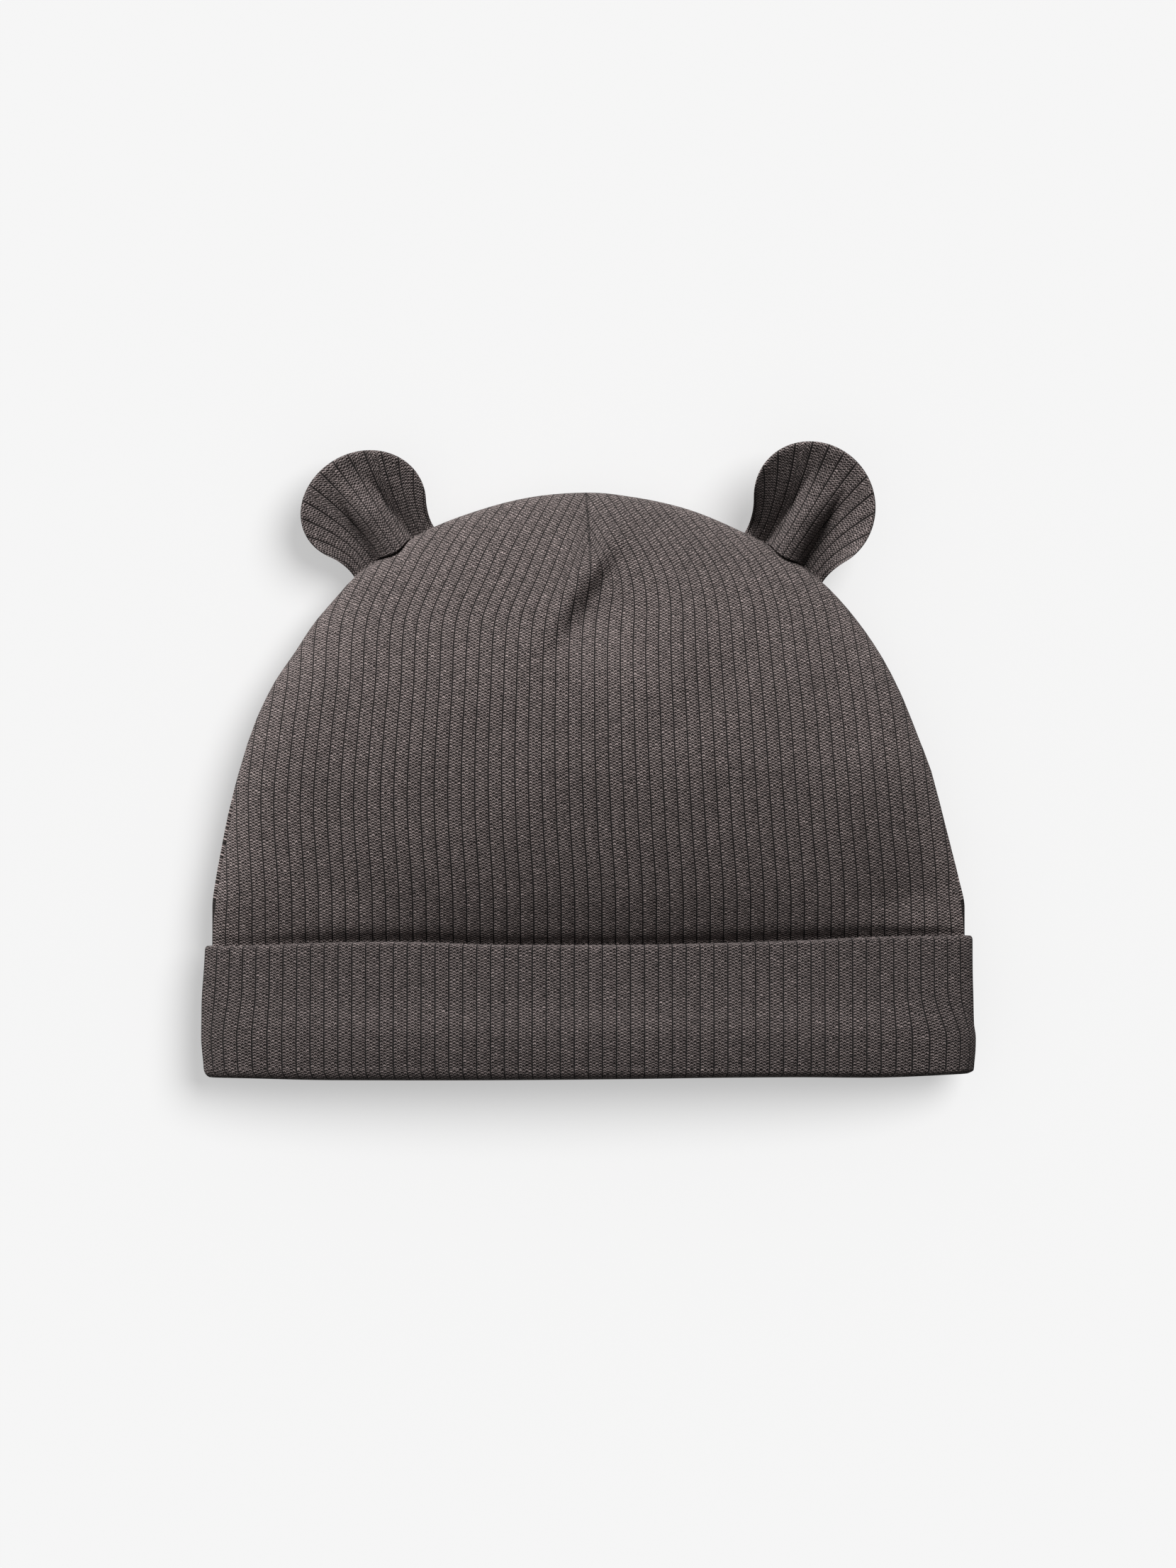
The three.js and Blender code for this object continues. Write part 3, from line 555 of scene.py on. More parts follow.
def finish_cloth(bm, name, places, uvs, material, seam=None):
    """Moves a numbered grid to its places, welds its seams and makes the piece."""
    bm.verts.index_update()
    column, row, layer = np.array([vert.co[:] for vert in bm.verts]).round().astype(int).T
    for vert, spot in zip(bm.verts, places[layer, row, column]):
        vert.co = spot
    uv_layer = bm.loops.layers.uv.new("cloth")
    uv_spots = uvs[row, column]
    for face in bm.faces:
        for loop in face.loops:
            loop[uv_layer].uv = uv_spots[loop.vert.index]
    # seam holds the mask of painted shade along the dart's seam, kept as a vertex attribute
    if seam is not None:
        seam_shade_layer = bm.verts.layers.float.new("seam")
        for vert, mark in zip(bm.verts, seam[row, column]):
            vert[seam_shade_layer] = mark
    bmesh.ops.remove_doubles(bm, verts=bm.verts[:], dist=WELD)
    bmesh.ops.dissolve_degenerate(bm, edges=bm.edges[:], dist=WELD)
    bmesh.ops.recalc_face_normals(bm, faces=bm.faces[:])
    if bm.calc_volume(signed=True) < 0:
        bmesh.ops.reverse_faces(bm, faces=bm.faces[:])
    mesh = bpy.data.meshes.new(name)
    bm.to_mesh(mesh)
    bm.free()
    mesh.shade_smooth()
    mesh.materials.append(material)
    piece = bpy.data.objects.new(name, mesh)
    bpy.context.scene.collection.objects.link(piece)
    return piece


def cloth_lengths(places):
    """Length along each column of the outer layer, from its first row."""
    steps = np.linalg.norm(np.diff(places, axis=0), axis=2)
    return np.concatenate([np.zeros((1, places.shape[1])), np.cumsum(steps, axis=0)])


def crown_rows(shape, end):
    """Heights of a layer's grid rows up each column, close together at the cuff and the edge."""
    tuck, cover = shape.cuff_cover, shape.cover_top
    low = tuck + (cover - tuck) * np.array(COVERED_STEPS)[:, None]
    high = 1 - (1 - np.linspace(0, 1, BARE_ROWS + 1)[:, None]) ** ROW_POWER
    return np.concatenate([low + 0 * end, cover + (end - cover) * high])


def peek_in(shape, side, x, at):
    """Share by which the front layer's edge draws in low down, so that the back shows there."""
    near = shape.side_share(x, at) ** PEEK["power"]
    low = smooth(PEEK["low"], PEEK["low"] + BARE_REACH, at)
    high = 1 - smooth(PEEK["high"][side] - BARE_REACH, PEEK["high"][side], at)
    return PEEK["wide"] / shape.crown_half * near * low * high


def crown_layer(name, height, grooves_off, peeks, material):
    """One layer of the crown, its columns following the ribs and its seam at the dart closed."""
    shape = Shape()
    s = shape.s
    share, ribs, groove = column_shares(shape)
    middle = len(share) - 1
    tuck = shape.cuff_cover
    rows = len(COVERED_STEPS) + BARE_ROWS
    places = np.zeros((2, rows + 1, 2 * middle + 1, 3))
    seam = np.zeros((rows + 1, 2 * middle + 1))
    dart = int(np.argmax(ribs >= DART_RIBS))
    for side, sign in SIDES.items():
        end = shape.rib_end(side, share) * s.crown_height
        end[0] = shape.dart_tip * s.crown_height
        end[dart] = s.crown_height
        y = crown_rows(shape, end)
        at = y / s.crown_height
        x = shape.rib_x(side, share, at)
        sunk = s.rib_depth * groove * (1 - grooves_off(share, at))
        drawn = x * (1 - peeks * peek_in(shape, side, x, at))
        outer = np.stack([drawn, y, height(shape, x, at, sunk)], axis=2)
        inner = np.stack([
            drawn * (1 - s.cloth / shape.crown_half),
            tuck + (y - tuck) * (1 - s.cloth / s.crown_height),
            height(shape, x, at, s.cloth)], axis=2)
        where = middle + sign * np.arange(middle + 1)
        places[0][:, where] = outer
        places[1][:, where] = inner
        # The front layer carries a mask of painted shade along the dart's seam
        seam[:, where] = peeks * shape.dart_painted_shade(x, at)
    places += (MIDDLE_X, MOUTH_Y, 0)

    def is_dart_wall(face):
        corners = [vert.co for vert in face.verts]
        crosses = len({round(co.z) for co in corners}) == 2
        at_top = all(round(co.y) == rows for co in corners)
        return crosses and at_top and all(abs(co.x - middle) <= dart + 0.5 for co in corners)

    bm = grid_shell(2 * middle, rows, is_dart_wall)
    uvs = np.zeros((rows + 1, 2 * middle + 1, 2))
    uvs[..., 0] = np.concatenate([-ribs[:0:-1], ribs])[None, :]
    uvs[..., 1] = cloth_lengths(places[0])
    return finish_cloth(bm, name, places, uvs, material, seam)


def no_press(share, at):
    return 0 * share * at


def press_below(share, at):
    """The cloth that bears on the floor has its ribs pressed flat."""
    across = 1 - smooth(FLAT_SHARE, FLAT_SHARE + PRESS["side"], share)
    above = 1 - smooth(BACK_ROLL_START, BACK_ROLL_START + PRESS["top"], at)
    return across * smooth(PRESS["low"], PRESS["full"], at) * above


def cuff_section(shape, place):
    """The cuff's closed section for every place round it: depth below the face, and height."""
    s = shape.s
    top = s.cuff_depth + s.cuff_end_lift * curve(CUFF_EDGE, "rise", place)
    flat = 0 * top
    fold = s.cuff_cloth / 2
    tuck = shape.cuff_cover
    hem = shape.hem_start
    half_hem = s.cloth / 2

    def straight(sunk, low, high, count):
        return [(sunk + flat, low + (high - low) * step / count) for step in range(count)]

    def bow_round(middle, radius, low, high, count):
        """Half a turn from one depth to the other, over the far end of the fold."""
        for step in range(count):
            angle = math.pi * step / count
            yield (middle - radius * math.cos(angle) + flat, low + high * math.sin(angle))

    rows = straight(0, tuck, top - fold, LEG_ROWS)
    rows += bow_round(fold, fold, top - fold, fold, FOLD_ROWS)
    rows += straight(s.cuff_cloth, top - fold, s.cuff_cloth + flat, LEG_ROWS // 3)
    rows += [(s.cuff_cloth + flat, s.cuff_cloth + flat)]
    rows += straight(hem, s.cuff_cloth + flat, s.inner_hem + flat, LEG_ROWS // 3)
    rows += bow_round(hem + half_hem, half_hem, s.inner_hem + flat, half_hem, FOLD_ROWS)
    rows += straight(hem + s.cloth, s.inner_hem + flat, s.cuff_cloth + flat, LEG_ROWS // 3)
    for step in range(HEM_ROWS + 1):
        angle = math.pi * step / HEM_ROWS
        low = s.cuff_cloth + (tuck - s.cuff_cloth) * step / HEM_ROWS
        sunk = shape.cuff_stack / 2 * (1 + math.cos(angle))
        rows.append((sunk + flat, low * (1 - math.sin(angle)) + flat))
    return np.array([row[0] for row in rows]), np.array([row[1] for row in rows])


def rib_bow(side_bow, share, y, depth):
    """How far the ribs near the cuff's ends bow outwards, as a share of the half width."""
    inwards = 1 - share
    low = 1 - smooth(BOW["low"], BOW["high"], y / depth)
    return side_bow * low * inwards * np.exp(-((inwards / BOW["reach"]) ** 2))


def cuff_roll(shape, y):
    away = y / shape.s.cuff_depth - ROLL["at"]
    reach = np.where(away < 0, ROLL["below"], ROLL["above"])
    start = smooth(0, shape.cuff_cover, y - shape.cuff_cover)
    return shape.s.cuff_roll * np.exp(-((away / reach) ** 2)) * start


def cuff_ring(name, material):
    """The turned-up cuff: one ring whose section runs round its outer leg, fold and hem."""
    shape = Shape()
    s = shape.s
    share, ribs, groove = column_shares(shape)
    signed = np.concatenate([-share[:0:-1], share])
    signed_ribs = np.concatenate([-ribs[:0:-1], ribs])
    place = np.concatenate([signed[::-1], signed[1:]])
    depth = np.concatenate([both_sides(groove)[::-1], both_sides(groove)[1:]])
    front = np.arange(len(place)) < len(signed)
    ring_ribs = np.concatenate([-signed_ribs, 2 * shape.ribs + signed_ribs[1:]])
    sunk, y = cuff_section(shape, place)
    is_left = place < 0
    outward = np.maximum(0, 1 - sunk / s.cuff_cloth)
    side_bow = np.where(is_left, BOW["left"], BOW["right"]) * front
    reach = np.abs(place) + rib_bow(side_bow, np.abs(place), y, s.cuff_depth) * outward
    at_end = y / s.cuff_depth
    ends = np.where(is_left, curve(CUFF_ENDS, "left", at_end), curve(CUFF_ENDS, "right", at_end))
    drawn = ends * s.cuff_cloth * outward * reach ** END_POWER
    x = np.where(is_left, -1, 1) * (reach * (s.cuff_width / 2 - sunk) - drawn)
    at = y / s.crown_height
    puff = shape.front_top(at) - shape.mouth_middle + shape.cuff_cover
    is_leg = (sunk == 0) & front
    face = sunk + np.where(is_leg, s.rib_depth * depth, 0)
    front_z = (puff - face + cuff_roll(shape, y) * outward) * front_roll(reach)
    back_z = -(shape.mouth_middle - sunk) * back_roll(reach)
    z = shape.mouth_middle + np.where(front, front_z, back_z)
    hem = s.cuff_end_lift * curve(CUFF_EDGE, "hem", place) * (1 - smooth(0, s.cuff_cloth, y))
    places = np.stack([x + MIDDLE_X, y + hem + MOUTH_Y, z], axis=2)
    rows, columns = places.shape[0] - 1, places.shape[1] - 1
    bm = bmesh.new()
    bmesh.ops.create_grid(bm, x_segments=columns, y_segments=rows, size=1)
    to_whole_numbers(bm, columns, rows)
    uvs = np.zeros((rows + 1, columns + 1, 2))
    uvs[..., 0] = ring_ribs[None, :]
    uvs[..., 1] = cloth_lengths(places)
    return finish_cloth(bm, name, places[None], uvs, material)


def outline_point(shape, side, half):
    """The point of the crown's outline at each half width."""
    ones = np.ones_like(half)
    at = crossing(lambda share: shape.half_width(side, share) - half,
                  OUTLINE[1]["at"] * ones, ones)
    return np.stack([SIDES[side] * half, at * shape.s.crown_height], axis=-1), at


def ear_fold(shape, ear, across, outwards):
    """Height of the ear's cloth over the seam: a raised fold between two valleys, and the cup."""
    half = PLEAT["base"] + (PLEAT["tip"] - PLEAT["base"]) * outwards
    ridge = 1 - smooth(PLEAT["fade"], PLEAT["end"], outwards)
    deep = np.where(across < 0, VALLEY["inner"], VALLEY["outer"])
    deep = deep * (1 - smooth(VALLEY["fade"], VALLEY["end"], outwards))
    inside = np.maximum(0, 1 - (across / half) ** 2) ** PLEAT["steep"]
    past = np.maximum(0, np.abs(across) - half) / VALLEY["reach"]
    fold = (ridge + deep) * inside - deep * np.exp(-past * past)
    cup = shape.s.ear_cup * ear["cup"] * outwards ** CUP_POWER
    return shape.s.pleat_height * fold + cup


def wall_lean(shape, foot, out, height):
    """How far inside its outline the crown's front has risen to each height, per column."""
    depths = np.linspace(0, WALL_REACH, WALL_STEPS)
    inside = foot[None] - depths[:, None, None] * out
    wall = shape.front_height(inside[..., 0], inside[..., 1] / shape.s.crown_height, 0)
    wall = np.maximum.accumulate(wall, axis=0)
    columns = zip(height.T, wall.T)
    return np.stack([np.interp(one, risen, depths) for one, risen in columns], axis=1)


def ear_piece(ear, name, material):
    """A doubled round of cloth, gathered at its base in the crown's seam."""
    shape = Shape()
    s = shape.s
    side = ear["side"]
    top_half, low_half = shape.ear_ends(ear)
    (top, low), _ = outline_point(shape, side, np.array([top_half, low_half]))
    along = (low - top) / np.linalg.norm(low - top)
    out = np.array([-along[1], along[0]]) * SIDES[side]
    head = ear["reach"] * s.ear_reach / 2
    across = np.linspace(-1, 1, EAR_COLUMNS + 1)
    gathered = (across * (1 + GATHER - GATHER * across ** 2) + 1) / 2
    foot, foot_at = outline_point(shape, side, top_half + (low_half - top_half) * gathered)
    angle = EAR_TURN * across * (1 - SPREAD + SPREAD * across ** 2)
    shift = ear["shift"] * s.ear_width * (1 - across ** SHIFT_FADE)
    sideways = ear["width"] * s.ear_width / 2 * np.sin(angle) + shift
    rim = (top + low) / 2 + np.outer(sideways, along) + np.outer(head * (1 + np.cos(angle)), out)
    start = foot + out * s.clearance / 2
    bend = start + np.outer(head * BEND["reach"] * (1 - BEND["sides"] * across ** 2), out)
    outwards = np.concatenate([np.zeros(WALL_ROWS), np.linspace(0, 1, EAR_ROWS - WALL_ROWS)])[:, None]
    risen = np.minimum(np.arange(EAR_ROWS) / WALL_ROWS, 1)[:, None]
    t = outwards[..., None]
    sheet = (1 - t) ** 2 * start + 2 * (1 - t) * t * bend + t * t * rim
    seam = shape.seam_height(foot_at)[None, :]
    lift = risen * ear_fold(shape, ear, across[None, :], outwards)
    lean = wall_lean(shape, foot, out, seam + np.maximum(lift, 0)) * (1 - smooth(0, WALL_FADE, outwards))
    sheet = sheet - lean[..., None] * out
    flat = np.concatenate([(foot - out * s.ear_tuck)[None], sheet])
    level = np.concatenate([[[0.0]], outwards])
    middle = seam + np.concatenate([0 * across[None, :], lift])
    ribs = across * EAR_RIBS / 2
    ladder = np.abs(ribs - np.round(ribs))
    edge = np.maximum(np.abs(across)[None, :], level)
    past = np.clip((edge - RIM["start"]) / (1 - RIM["start"]), 0, 1)
    thick = s.ear_cloth / 2 * (RIM["thin"] + (1 - RIM["thin"]) * np.sqrt(1 - past ** 2))
    groove = s.rib_depth * np.interp(ladder, RIB_STEPS[:3], RIB_DEPTHS[:3])
    groove = groove[None, :] * (1 - past) * (level > 0)
    upper = np.dstack([flat, middle + thick - groove])
    lower = np.dstack([flat, middle - thick + groove])
    places = np.stack([upper, lower]) + (MIDDLE_X, MOUTH_Y, 0)
    bm = grid_shell(EAR_COLUMNS, EAR_ROWS)
    uvs = np.zeros((EAR_ROWS + 1, EAR_COLUMNS + 1, 2))
    uvs[..., 0] = ribs[None, :]
    uvs[..., 1] = cloth_lengths(places[0])
    return finish_cloth(bm, name, places, uvs, material)


def fill(made, inputs):
    """Sets constant values on a node's own sockets."""
    for socket, value in inputs.items():
        made.inputs[socket].default_value = value


def node(tree, kind, inputs=None, **values):
    """Adds a node and sets its properties and constant inputs."""
    made = tree.nodes.new(kind)
    for key, value in values.items():
        setattr(made, key, value)
    fill(made, inputs or {})
    return made


def calc(tree, operation, first, second=None, third=None):
    """A Math node on sockets or numbers; returns its value."""
    made = node(tree, "ShaderNodeMath", operation=operation)
    for index, value in enumerate((first, second, third)):
        if value is None:
            continue
        if isinstance(value, (int, float)):
            made.inputs[index].default_value = value
        else:
            tree.links.new(value, made.inputs[index])
    return made.outputs[0]


def step(tree, value, low, high, to_low=0.0, to_high=1.0):
    """A smooth Map Range of a value."""
    ends = {"From Min": low, "From Max": high, "To Min": to_low, "To Max": to_high}
    made = node(tree, "ShaderNodeMapRange", ends, interpolation_type="SMOOTHSTEP")
    tree.links.new(value, made.inputs["Value"])
    return made.outputs[0]


def mix(tree, first, second, share):
    """Blends two colours by a value."""
    made = node(tree, "ShaderNodeMix", data_type="RGBA")
    fill(made, {"A": first, "B": second})
    tree.links.new(share, made.inputs["Factor"])
    return made.outputs["Result"]


# The knit: four columns of stitches to a rib, how uneven they lie, and how strongly each part of a
# stitch tells in its tone and height
WALES = 4.0
UNEVEN = {"scale": 2.1, "detail": 3.0, "stretch": 0.25, "sideways": 0.35, "lengthways": 1.3}
STITCH = {"arch": 0.95, "drop": 1.7, "leg": 0.28, "leg_from": 0.12, "leg_to": 0.36,
          "gap": 0.24, "gap_from": 0.40, "gap_to": 0.50}
LADDER = {"share": 0.085, "from": 0.35, "to": 0.75, "rung": 0.10, "rung_base": 0.14}
TONE = {"stitch": 1.62, "base": 0.04, "uneven": 0.6, "single": 0.4, "single_base": 0.8}


def knit_group():
    """Drop-needle jersey: columns of arched stitches, four to a rib, and a ladder between."""
    tree = bpy.data.node_groups.new("rib_knit", "ShaderNodeTree")
    face = tree.interface
    for name in ("Ribs", "Courses", "Ladder Share"):
        face.new_socket(name, in_out="INPUT", socket_type="NodeSocketFloat")
    for name in ("Tone", "Height"):
        face.new_socket(name, in_out="OUTPUT", socket_type="NodeSocketFloat")
    given = node(tree, "NodeGroupInput").outputs
    result = node(tree, "NodeGroupOutput").inputs

    def times(first, second):
        return calc(tree, "MULTIPLY", first, second)

    def plus(first, second):
        return calc(tree, "ADD", first, second)

    def minus(first, second):
        return calc(tree, "SUBTRACT", first, second)

    def line(value, slope, base):
        return calc(tree, "MULTIPLY_ADD", value, slope, base)

    combine = node(tree, "ShaderNodeCombineXYZ")
    tree.links.new(given["Ribs"], combine.inputs[0])
    tree.links.new(times(given["Courses"], UNEVEN["stretch"]), combine.inputs[1])
    grain = {"Scale": UNEVEN["scale"], "Detail": UNEVEN["detail"]}
    uneven = node(tree, "ShaderNodeTexNoise", grain)
    tree.links.new(combine.outputs[0], uneven.inputs["Vector"])
    jitter = minus(uneven.outputs["Fac"], 0.5)
    within = calc(tree, "FRACT", given["Ribs"])
    from_ladder = calc(tree, "MINIMUM", within, minus(1.0, within))
    half_ladder = times(given["Ladder Share"], 0.5)
    wales = calc(tree, "DIVIDE", minus(within, half_ladder), minus(1.0, given["Ladder Share"]))
    wales = plus(times(wales, WALES), times(jitter, UNEVEN["sideways"]))
    whole = calc(tree, "FLOOR", wales)
    across = calc(tree, "ABSOLUTE", minus(minus(wales, whole), 0.5))
    offset = calc(tree, "FRACT", times(whole, 0.5))
    drop = times(times(across, across), STITCH["drop"])
    phase = plus(plus(given["Courses"], offset), drop)
    phase = plus(phase, times(jitter, UNEVEN["lengthways"]))
    arch = line(calc(tree, "COSINE", times(phase, 2 * math.pi)), 0.5, 0.5)
    leg = step(tree, across, STITCH["leg_from"], STITCH["leg_to"], 0.0, STITCH["leg"])
    gap = step(tree, across, STITCH["gap_from"], STITCH["gap_to"], 0.0, STITCH["gap"])
    stitch = minus(plus(times(arch, STITCH["arch"]), leg), gap)
    from_middle = calc(tree, "DIVIDE", from_ladder, given["Ladder Share"])
    ladder = step(tree, from_middle, LADDER["from"], LADDER["to"])
    which = node(tree, "ShaderNodeCombineXYZ")
    ribs_before = times(calc(tree, "FLOOR", given["Ribs"]), WALES)
    tree.links.new(plus(whole, ribs_before), which.inputs[0])
    tree.links.new(calc(tree, "FLOOR", phase), which.inputs[1])
    single = node(tree, "ShaderNodeTexWhiteNoise", noise_dimensions="2D")
    tree.links.new(which.outputs[0], single.inputs["Vector"])
    tone = line(stitch, TONE["stitch"], TONE["base"])
    tone = times(tone, line(jitter, TONE["uneven"], 1.0))
    tone = times(tone, line(single.outputs["Value"], TONE["single"], TONE["single_base"]))
    rung = calc(tree, "COSINE", times(given["Courses"], 2 * math.pi))
    rung = line(rung, LADDER["rung"], LADDER["rung_base"])
    tone = times(tone, line(ladder, minus(1.0, rung), rung))
    tree.links.new(tone, result["Tone"])
    tree.links.new(times(stitch, ladder), result["Height"])
    return tree


# Speckle of the yarn's own fibres: how many to a metre, and how strong
FIBRES = 2300.0
SPECKLE = 2.0

# Finish of the jersey: constant values of its shader, the size of its mottle, and how far that
# takes each colour down and up
FINISH = {"Roughness": 0.95, "Specular IOR Level": 0.12, "Sheen Weight": 0.04,
          "Sheen Roughness": 0.6}
MOTTLE = {"scale": 55.0, "detail": 4.0, "down": 0.90, "up": (1.10, 1.09, 1.10)}
BUMP_HEIGHT = 0.3 * MM


def jersey(name, colour):
    """Matt rib jersey in one colour, its stitches laid out along the cloth."""
    material = bpy.data.materials.new(name)
    material.use_nodes = True
    material.diffuse_color = colour
    tree = material.node_tree
    shader = tree.nodes["Principled BSDF"]
    fill(shader, FINISH)
    cloth = node(tree, "ShaderNodeUVMap", uv_map="cloth")
    split = node(tree, "ShaderNodeSeparateXYZ")
    tree.links.new(cloth.outputs[0], split.inputs[0])
    knit = node(tree, "ShaderNodeGroup", node_tree=bpy.data.node_groups["rib_knit"])
    fill(knit, {"Ladder Share": LADDER["share"]})
    tree.links.new(split.outputs[0], knit.inputs["Ribs"])
    courses = calc(tree, "DIVIDE", split.outputs[1], sizes().course)
    tree.links.new(courses, knit.inputs["Courses"])
    spot = node(tree, "ShaderNodeTexCoord")
    fibre = node(tree, "ShaderNodeTexNoise", {"Scale": FIBRES, "Detail": 1.0})
    tree.links.new(spot.outputs["Object"], fibre.inputs["Vector"])
    speckle = calc(tree, "MULTIPLY_ADD", fibre.outputs["Fac"], SPECKLE, 1.0 - SPECKLE / 2)
    patches = {"Scale": MOTTLE["scale"], "Detail": MOTTLE["detail"]}
    mottle = node(tree, "ShaderNodeTexNoise", patches)
    tree.links.new(spot.outputs["Object"], mottle.inputs["Vector"])
    darker = [value * MOTTLE["down"] for value in colour[:3]] + [1.0]
    lighter = [value * share for value, share in zip(colour[:3], MOTTLE["up"])] + [1.0]
    tint = mix(tree, darker, lighter, mottle.outputs["Fac"])
    toned = node(tree, "ShaderNodeVectorMath", operation="SCALE")
    tree.links.new(tint, toned.inputs[0])
    # The seam attribute darkens the colour along the dart's seam: painted shade
    seam = node(tree, "ShaderNodeAttribute", attribute_name="seam")
    light = calc(tree, "MULTIPLY_ADD", seam.outputs["Fac"], -DART_SEAM_PAINTED_SHADE, 1.0)
    knit_tone = calc(tree, "MULTIPLY", knit.outputs["Tone"], speckle)
    tree.links.new(calc(tree, "MULTIPLY", knit_tone, light), toned.inputs["Scale"])
    tree.links.new(toned.outputs[0], shader.inputs["Base Color"])
    bump = node(tree, "ShaderNodeBump", {"Strength": 1.0, "Distance": BUMP_HEIGHT})
    tree.links.new(knit.outputs["Height"], bump.inputs["Height"])
    tree.links.new(bump.outputs[0], shader.inputs["Normal"])
    return material


def place_piece(piece, cad_node):
    """Puts a piece on the hat's body in place of its plain solid."""
    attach(piece, "root")
    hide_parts(cad_node)


class HAT_OT_knit(bpy.types.Operator):
    """Make the shared knit pattern"""

    bl_idname = "hat.knit"
    bl_label = "Knit Pattern"

    def execute(self, context):
        knit_group()
        return {"FINISHED"}


class HAT_OT_crown(bpy.types.Operator):
    """Make the front and the back layer of the crown"""

    bl_idname = "hat.crown"
    bl_label = "Crown"

    def execute(self, context):
        cloth = jersey("crown_jersey", context.scene.hat_colours.crown)
        back = crown_layer("crown_back_cloth", Shape.back_height, press_below, 0, cloth)
        front = crown_layer("crown_front_cloth", Shape.front_height, no_press, 1, cloth)
        place_piece(back, "crown_back")
        place_piece(front, "crown_front")
        return {"FINISHED"}


class HAT_OT_cuff(bpy.types.Operator):
    """Make the turned-up cuff"""

    bl_idname = "hat.cuff"
    bl_label = "Cuff"

    def execute(self, context):
        cloth = jersey("cuff_jersey", context.scene.hat_colours.cuff)
        cuff = cuff_ring("cuff_cloth", cloth)
        place_piece(cuff, "cuff")
        return {"FINISHED"}


class HAT_OT_ears(bpy.types.Operator):
    """Make the two ears"""

    bl_idname = "hat.ears"
    bl_label = "Ears"

    def execute(self, context):
        cloth = jersey("ear_jersey", context.scene.hat_colours.ears)
        for ear in EARS:
            piece = ear_piece(ear, ear["name"] + "_cloth", cloth)
            place_piece(piece, ear["name"])
        return {"FINISHED"}


class HAT_OT_stage(bpy.types.Operator):
    """Lay the floor, hang the lights and set up the camera straight above"""

    bl_idname = "hat.stage"
    bl_label = "Stage"

    def execute(self, context):
        make_floor(context.scene.hat_colours.floor)
        make_lights()
        make_camera()
        return {"FINISHED"}


FLOOR_SIZE = 6.0
FLOOR_FINISH = {"Roughness": 0.9, "Specular IOR Level": 0.0,
                "Emission Color": (1.0, 1.0, 1.0, 1.0), "Emission Strength": 0.44}
FLOOR_GRAIN = {"scale": 400.0, "down": 0.998}
VIEW_HEIGHT = 0.3643
VIEW_MIDDLE_Y = 0.0682
CAMERA_DISTANCE = 1.6
SENSOR = 36.0


def make_floor(colour):
    bm = bmesh.new()
    bmesh.ops.create_grid(bm, x_segments=1, y_segments=1, size=FLOOR_SIZE / 2)
    mesh = bpy.data.meshes.new("floor")
    bm.to_mesh(mesh)
    bm.free()
    material = bpy.data.materials.new("floor_paper")
    material.use_nodes = True
    tree = material.node_tree
    shader = tree.nodes["Principled BSDF"]
    fill(shader, FLOOR_FINISH)
    grain = node(tree, "ShaderNodeTexNoise", {"Scale": FLOOR_GRAIN["scale"]})
    darker = [value * FLOOR_GRAIN["down"] for value in colour[:3]] + [1.0]
    shade = mix(tree, darker, colour, grain.outputs["Fac"])
    tree.links.new(shade, shader.inputs["Base Color"])
    mesh.materials.append(material)
    floor = bpy.data.objects.new("floor", mesh)
    floor.location.z = -0.1 * MM
    bpy.context.scene.collection.objects.link(floor)


# Soft lights like large windows: where each one comes from, its width as an angle, its power
# and what it lights
LIGHTS = (
    {"name": "window", "place": (-0.30, 1.0, 0.56), "angle": 46, "power": 6.6, "lights": "hat"},
    {"name": "softbox", "place": (0.8, 0.65, 1.4), "angle": 38, "power": 1.5, "lights": "floor"},
)
AMBIENT = 0.15


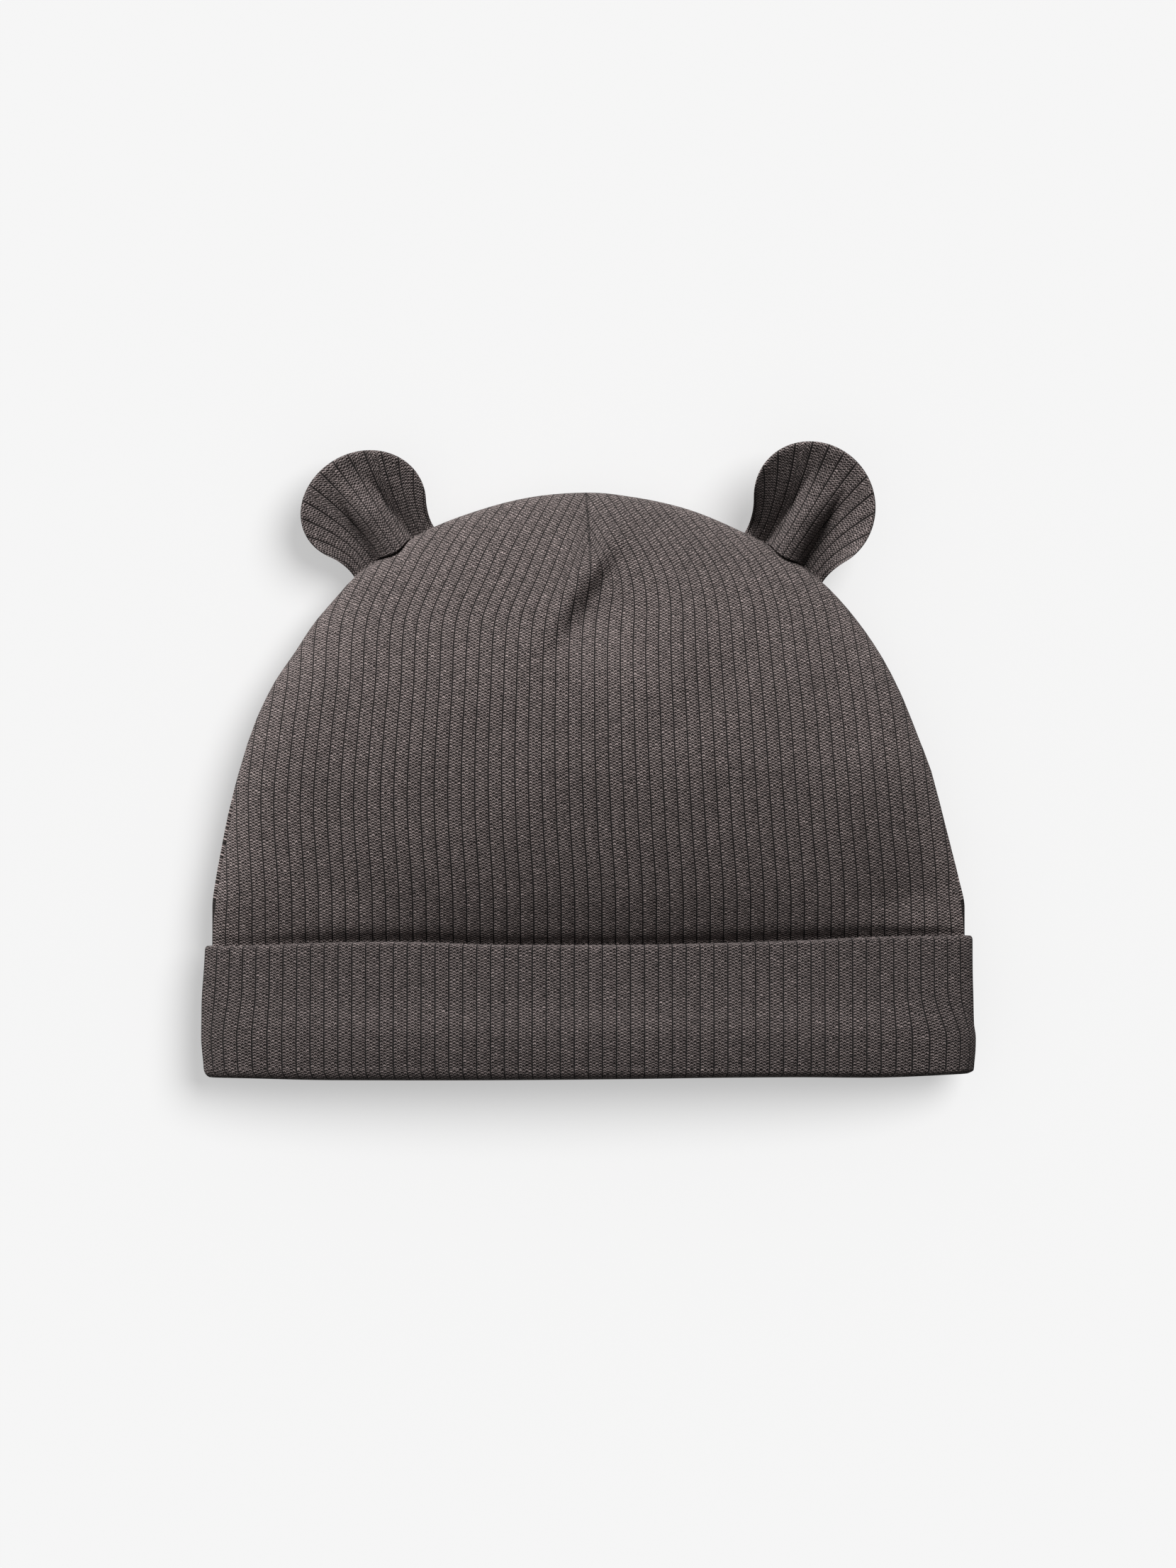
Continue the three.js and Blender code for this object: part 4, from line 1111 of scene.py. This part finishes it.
def make_lights():
    groups = {name: bpy.data.collections.new("lit_" + name) for name in ("hat", "floor")}
    for piece in bpy.context.scene.objects:
        if piece.type == "MESH":
            groups["floor" if piece.name == "floor" else "hat"].objects.link(piece)
    for one in LIGHTS:
        data = bpy.data.lights.new(one["name"], "SUN")
        data.angle = math.radians(one["angle"])
        data.energy = one["power"]
        light = bpy.data.objects.new(one["name"], data)
        light.location = one["place"]
        light.rotation_euler = aim(one["place"])
        light.light_linking.receiver_collection = groups[one["lights"]]
        bpy.context.scene.collection.objects.link(light)
    bpy.data.objects["floor"].light_linking.receiver_collection = groups["floor"]
    world = bpy.data.worlds.new("studio")
    world.use_nodes = True
    white = {"Color": (1.0, 1.0, 1.0, 1.0), "Strength": AMBIENT}
    fill(world.node_tree.nodes["Background"], white)
    bpy.context.scene.world = world


def aim(place):
    """The turn that points a light at the middle of the hat."""
    return (-Vector(place)).to_track_quat("-Z", "Y").to_euler()


def make_camera():
    data = bpy.data.cameras.new("camera")
    data.sensor_width = SENSOR
    data.lens = SENSOR * CAMERA_DISTANCE / VIEW_HEIGHT
    data.clip_end = 20.0
    camera = bpy.data.objects.new("camera", data)
    seam = Shape().mouth_middle
    camera.location = (0.0, MOUTH_Y + VIEW_MIDDLE_Y, CAMERA_DISTANCE + seam)
    bpy.context.scene.collection.objects.link(camera)
    bpy.context.scene.camera = camera
    bpy.context.scene.view_settings.view_transform = "Standard"


class HAT_PT_panel(bpy.types.Panel):
    """Steps that make the hat, in order"""

    bl_idname = "HAT_PT_panel"
    bl_label = "Hat"
    bl_space_type = "VIEW_3D"
    bl_region_type = "UI"
    bl_category = "Hat"

    def draw(self, context):
        for name in STEPS:
            self.layout.operator("hat." + name)
        for group in (context.scene.hat_sizes, context.scene.hat_colours):
            for prop in group.bl_rna.properties:
                if prop.identifier not in ("rna_type", "name"):
                    self.layout.prop(group, prop.identifier)


STEPS = ("knit", "crown", "cuff", "ears", "stage")
CLASSES = (HatSizes, HatColours, HAT_OT_knit, HAT_OT_crown, HAT_OT_cuff, HAT_OT_ears,
           HAT_OT_stage, HAT_PT_panel)


def register():
    for cls in CLASSES:
        bpy.utils.register_class(cls)
    bpy.types.Scene.hat_sizes = PointerProperty(type=HatSizes)
    bpy.types.Scene.hat_colours = PointerProperty(type=HatColours)


def unregister():
    del bpy.types.Scene.hat_colours
    del bpy.types.Scene.hat_sizes
    for cls in reversed(CLASSES):
        bpy.utils.unregister_class(cls)


def main():
    register()
    for name in STEPS:
        getattr(bpy.ops.hat, name)()


if __name__ == "__main__":
    main()
